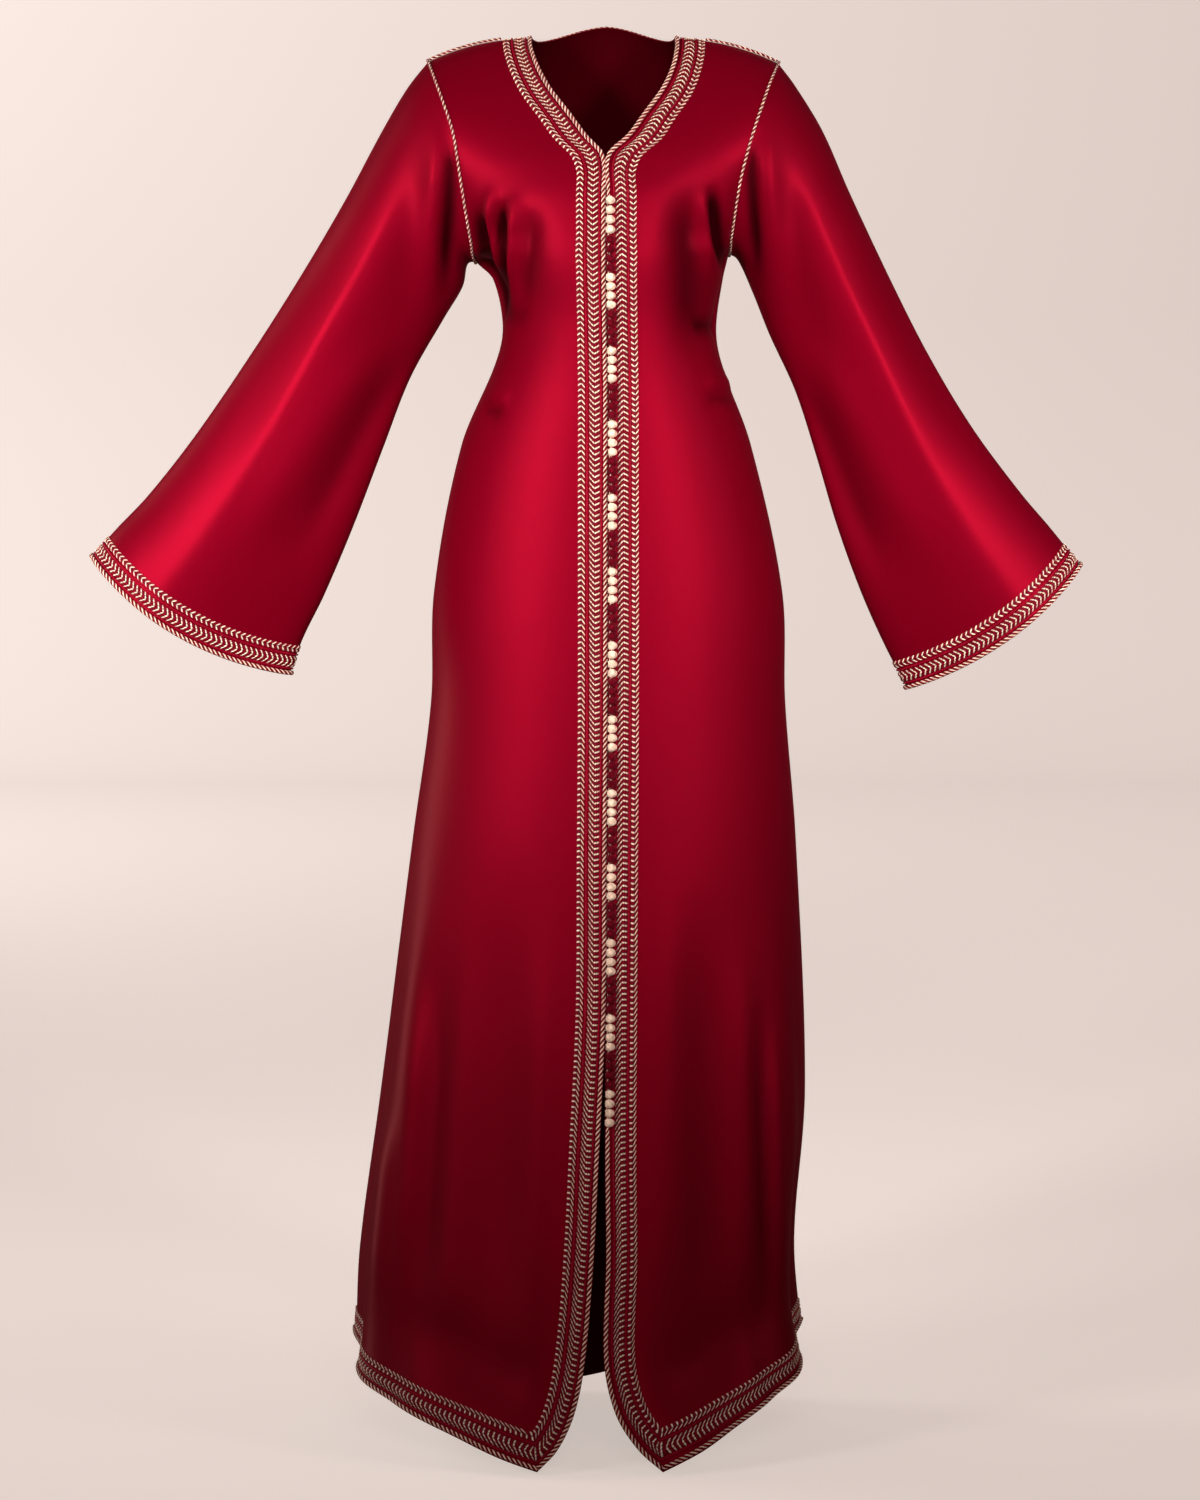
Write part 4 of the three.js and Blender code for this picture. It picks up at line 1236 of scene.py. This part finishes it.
def neck_way(place, inward):
    """From the left shoulder seam round the nape to the right one. Beside the neck the line runs from its
    distance along the seam to the same distance below the neckline."""
    start = 0.1
    ends = np.clip(np.minimum(place, 1 - place) / start, 0, 1)
    beyond = np.interp(inward * (1 - ends), BAND_COLUMNS, np.arange(len(BAND_COLUMNS)))
    middle = np.clip((place - start) / (1 - 2 * start), 0, 1)
    column = mix(-NECK_COLUMNS, NECK_COLUMNS, middle) + np.where(place < 0.5, -beyond, beyond)
    return inward * ends / ROW_STEP, (column + BACK_HALF) * BACK_STEPS


def cuff_way(place, inward):
    """Once round the cuff."""
    return (SLEEVE_LENGTH - inward) / SLEEVE_STEP, place * SLEEVE_COLUMNS


THIN_FROM, THIN_TO, THIN_FADE = 154, 1130, 20
THIN_BY = 0.36


def thin_under_buttons(place):
    """The right front's rope is thinner under the buttons, by a share that fades in and out."""
    down = place * LENGTH
    return 1 - THIN_BY * smooth((down - THIN_FROM) / THIN_FADE) * smooth((THIN_TO - down) / THIN_FADE)


# How far the wide and the narrow plait's legs are drawn on, for each step out from the plait's middle.
LEANS = {"left": (-0.8, 0.9), "right": (0.8, -0.9)}
bands = {}
for hand in ("left", "right"):
    front, sleeve = cloths["front_" + hand], cloths["sleeve_" + hand]
    layout, leans = LAYOUT[hand], LEANS[hand]
    thin = thin_under_buttons if hand == "right" else None
    bands["front_" + hand] = [
        braid_band(f"front_braids_{hand}", f"front_band_{hand}", front, front_way, layout, leans, thin=thin),
        braid_band(f"hem_braids_front_{hand}", f"hem_band_front_{hand}", front, front_hem_way, layout, leans),
    ]
    cuff = f"cuff_braids_{hand}", f"cuff_band_{hand}"
    bands["sleeve_" + hand] = [braid_band(*cuff, sleeve, cuff_way, LAYOUT["left"], leans, closed=True)]
back, layout, leans = cloths["back"], LAYOUT["left"], LEANS["left"]
bands["back"] = [
    braid_band("hem_braids_back", "hem_band_back", back, back_hem_way, layout, leans),
    braid_band("neck_braids_back", "neck_band_back", back, neck_way, layout, leans),
]

# Cords over the seams
# A thin cord of two cream and two wine strands, twisted together, is sewn over each armhole and each
# shoulder seam. It rests on both panels that meet there.
SEAM_CORD = 1.5
SEAM_STRANDS, SEAM_TURN = 4, 11.2


def seam_cord(name, points, one, other, closed, node_name):
    """A twisted cord along seam points, resting on the two cloths that meet there: its middle is moved out
    halfway between their normals, as far as a round cord that touches both."""
    out = unit(one + other)
    reach = np.maximum(np.sum(out * one, axis=-1), 0.35)
    middle = points + out * ((SEAM_CORD + LAY_CLEAR) / reach)[:, None]
    if closed:
        middle = np.concatenate([middle, middle[:1]])
        out = np.concatenate([out, out[:1]])
    run = run_lengths(middle, 0)
    turns = round(run[-1] / SEAM_TURN)
    rings = RINGS_PER_TURN * turns
    at = np.arange(rings if closed else rings + 1) / rings * run[-1]
    centre = np.stack([np.interp(at, run, middle[:, k]) for k in range(3)], -1)
    up = unit(np.stack([np.interp(at, run, out[:, k]) for k in range(3)], -1))
    side = unit(np.cross(up, np.gradient(centre, axis=0)))
    skin = twisted_skin(centre, side, up, at, np.full(len(at), SEAM_CORD), run[-1] / turns, SEAM_STRANDS)
    bundle = Bundle()
    add_tube(bundle, orient(skin), rope_threads(len(at), SEAM_STRANDS), closed, strand_gap_shade(SEAM_STRANDS))
    piece = bundle.made(name)
    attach(piece, "root")
    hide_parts(node_name)
    return piece


seam_cords = {}
for hand in ("left", "right"):
    sleeve, front, back = cloths["sleeve_" + hand], cloths["front_" + hand], cloths["back"]
    turns = np.linspace(0, 2 * math.pi, SLEEVE_COLUMNS + 1)[:-1]
    seam, on_sleeve = sleeve.points[0], sleeve.normals[1]
    down = armhole_down(hand, turns)
    on_front = front.lay(down / ROW_STEP, np.full_like(down, BAND_STEPS + PLAIN_STEPS - 1))[1]
    edge = 1 if hand == "left" else len(back_columns) - 2
    on_back = back.lay(down / ROW_STEP, np.full_like(down, edge))[1]
    on_body = np.where((turns <= math.pi)[:, None], on_front, on_back)
    armhole = seam_cord(f"armhole_cord_twist_{hand}", seam, on_sleeve, on_body, True, f"armhole_cord_{hand}")
    columns = np.linspace(BAND_STEPS, BAND_STEPS + PLAIN_STEPS - 0.8, 60)
    along, on_shoulder = front.lay(0, columns)
    shoulder_columns = (BACK_HALF - NECK_COLUMNS) * BACK_STEPS + 1
    order = slice(None, None, 1 if hand == "left" else -1)
    far, beyond = (grid[order][:shoulder_columns] for grid in (back.points[0], back.normals[1]))
    nearest = np.argmin(np.linalg.norm(along[:, None] - far[None], axis=-1), axis=1)
    shoulder = seam_cord(
        f"shoulder_cord_twist_{hand}", along, on_shoulder, beyond[nearest], False, f"shoulder_cord_{hand}"
    )
    seam_cords[hand] = [armhole, shoulder]

# Knot buttons
# A hundred small knots of silk cord close the front, in groups of four cream and four wine. Each sits on
# the right front's edge and is held by a thread loop from the left one.
KNOT_RADIUS = 4.5
BUTTON_ASIDE = 4.2
BUTTON_STAND = 8.05
RUNS, PER_RUN = 25, 4
FIRST_BUTTON, LAST_BUTTON = 172, 1112
KNOT_LONG, KNOT_ROUND = 12, 18
LOOP_RADIUS = 0.8
LOOP_HALF_WIDTH, LOOP_HALF_HEIGHT, LOOP_BACK = 4.7, 3.3, 2.2


def knot_ball():
    """A ball of crossing cords as rings of points: a sphere whose radius swells where two families of
    slanting strands pass. The second result is the painted shade of the gaps between them."""
    lat = np.linspace(-math.pi / 2, math.pi / 2, KNOT_LONG + 1)[1:-1, None]
    lon = np.arange(KNOT_ROUND)[None, :] * 2 * math.pi / KNOT_ROUND
    weave = np.abs(np.sin(1.5 * lon + 2 * lat)) * np.abs(np.sin(1.5 * lon - 2 * lat))
    reach = 0.9 + 0.14 * weave
    level = reach * np.cos(lat)
    return points_of(level * np.cos(lon), level * np.sin(lon), reach * np.sin(lat)), 0.7 * (1 - weave) ** 3


def thread_loop():
    """A thin tube bent round a knot: out from the left edge, round the knot's far side and back."""
    angle = np.linspace(math.radians(-150), math.radians(150), 15)
    middle = points_of(LOOP_HALF_WIDTH * np.cos(angle), LOOP_BACK, LOOP_HALF_HEIGHT * np.sin(angle))
    ahead = unit(np.gradient(middle, axis=0))
    up = np.broadcast_to([0.0, 1.0, 0.0], ahead.shape)
    side = unit(np.cross(up, ahead))
    turn = np.arange(5) * 2 * math.pi / 5
    return middle[:, None] + LOOP_RADIUS * (
        side[:, None] * np.cos(turn)[None, :, None] + up[:, None] * np.sin(turn)[None, :, None]
    )


def knot_places():
    """The knots' middles by even steps down the right front's edge, with the way the row runs."""
    down = FIRST_BUTTON + (np.arange(RUNS * PER_RUN) + 0.5) * (LAST_BUTTON - FIRST_BUTTON) / (RUNS * PER_RUN)
    x = read(CENTRE, "right_x", down) + BUTTON_ASIDE
    places = points_of(x, read(CENTRE, "y", down) - BUTTON_STAND, read(CENTRE, "z", down))
    return places, unit(-np.gradient(places, axis=0))


def knot_row(name, thread, runs):
    """The knots and loops of some runs of four, each knot turned and sized a little at random."""
    ball, gaps = knot_ball()
    loop = thread_loop()
    bundle = Bundle()
    places, ups = knot_places()
    draw = np.random.default_rng(11)
    spins = draw.uniform(0, 2 * math.pi, len(places))
    sizes = draw.uniform(0.97, 1.03, len(places))
    for k in np.flatnonzero(np.isin(np.arange(len(places)) // PER_RUN, runs)):
        right = unit(np.cross([0.0, 1.0, 0.0], ups[k]))
        fore = np.cross(ups[k], right)
        cos, sin = math.cos(spins[k]), math.sin(spins[k])
        turned = np.stack([right * cos + fore * sin, fore * cos - right * sin, ups[k]])
        knot = places[k] + ball * KNOT_RADIUS * sizes[k] @ turned
        # The knot carries painted shade in the gaps between its strands.
        add_tube(bundle, orient(knot), np.full(knot.shape[:2], thread), False, gaps)
        held = places[k] + loop @ np.stack([right, fore, ups[k]])
        add_tube(bundle, orient(held), np.full(held.shape[:2], thread), False)
    piece = bundle.made(name, sharp=80)
    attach(piece, "root")
    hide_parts(*(f"button_run_{run + 1:02d}" for run in runs))
    return piece


knots = [
    knot_row("cream_knots", IN_CREAM, np.arange(0, RUNS, 2)),
    knot_row("wine_knots", IN_DARK, np.arange(1, RUNS, 2)),
]

# The cut of each panel
# For each panel of satin, the braids, cords and knots that are sewn to it are gathered; its flat size on
# the cutting table and its cut area are read but not used.
for name, (flat, area) in CUTS.items():
    others = list(bands[name])
    if name.startswith("front"):
        others += [seam_cords[name[6:]][1]]
    if name == "front_right":
        others += knots
    if name.startswith("sleeve"):
        others += [seam_cords[name[7:]][0]]

# Studio
# A pale seamless backdrop curves up from the floor. Soft lights stand at the left, the front and the right,
# one falls on each sleeve, one behind the left side draws the bright edge down the skirt, and the last one
# lights the backdrop alone.
FLOOR = -1.4555
BACKDROP = 11.0  # the wall's place behind the garment


def backdrop():
    """A strip of floor, a quarter round and a wall, as one swept surface."""
    turn = np.linspace(0, math.pi / 2, 24)
    radius = 1.6
    depth = np.concatenate([[-12.0], BACKDROP - radius + radius * np.sin(turn), [BACKDROP]])
    height = np.concatenate([[0.0], radius - radius * np.cos(turn), [12.0]])
    width = np.linspace(-12, 12, 25)
    points = points_of(width[None, :], depth[:, None], FLOOR + height[:, None])
    rows, columns = points.shape[:2]
    quads = grid_quads(np.arange(rows * columns).reshape(rows, columns))
    paint = bpy.data.materials.new("backdrop_paint")
    paint.use_nodes = True
    tree = paint.node_tree
    shader = tree.nodes["Principled BSDF"]
    place = node(tree, "ShaderNodeTexCoord")
    cloud = node(tree, "ShaderNodeTexNoise", {"Vector": place.outputs["Object"], "Scale": 0.5, "Detail": 1.0})
    tint = blend(tree, cloud.outputs["Fac"], (0.7, 0.645, 0.61, 1), (0.73, 0.675, 0.64, 1))
    tree.links.new(tint, shader.inputs["Base Color"])
    shader.inputs["Roughness"].default_value = 0.9
    shader.inputs["Emission Color"].default_value = (1.0, 0.88, 0.81, 1)
    shader.inputs["Emission Strength"].default_value = 0.54
    flat = np.zeros((4 * len(quads), 2))
    wall = mesh_object("backdrop", points.reshape(-1, 3) / MM, [quads], flat, [paint])
    wall.visible_diffuse = False
    wall.visible_glossy = False


def soft_light(name, at, towards, size, watts, spread=180):
    """A square cornered lamp that faces a point, its beam spread over so many degrees."""
    data = bpy.data.lights.new(name, "AREA")
    data.spread = math.radians(spread)
    data.shape = "RECTANGLE"
    data.size, data.size_y = size
    data.energy = watts
    data.color = (1.0, 0.97, 0.95)
    lamp = bpy.data.objects.new(name, data)
    lamp.location = at
    way = np.array(towards, float) - np.array(at, float)
    level = math.hypot(way[0], way[1])
    lamp.rotation_euler = (math.atan2(level, -way[2]), 0, math.atan2(-way[0], way[1]))
    bpy.context.scene.collection.objects.link(lamp)


backdrop()
soft_light("left", (-2.4, -2.0, 0.3), (0, 0, -0.2), (1.0, 1.4), 5.3, 66)
soft_light("front", (0.1, -3.6, 0.35), (0, 0, -0.1), (1.2, 1.2), 5.8, 52)
soft_light("right", (2.6, -1.6, 0.3), (0.1, 0, -0.4), (1.0, 1.6), 2.5, 66)
soft_light("sleeve_left", (-1.7, -2.6, 0.1), (-0.4, 0, -0.4), (0.6, 0.6), 4.4, 28)
soft_light("sleeve_right", (1.6, -2.6, 0.1), (0.37, 0, -0.4), (0.6, 0.6), 3.5, 28)
soft_light("edge", (-2.4, 0.7, -0.3), (0, 0, -0.6), (0.8, 2.2), 18)
soft_light("wall", (-5.0, BACKDROP - 5.0, 3.5), (-1.5, BACKDROP, 0), (4.0, 3.0), 260)

world = bpy.data.worlds.new("studio")
world.use_nodes = True
world.node_tree.nodes["Background"].inputs["Color"].default_value = (1.0, 0.4, 0.4, 1)
world.node_tree.nodes["Background"].inputs["Strength"].default_value = 0.08
bpy.context.scene.world = world
bpy.context.scene.view_settings.view_transform = "Standard"
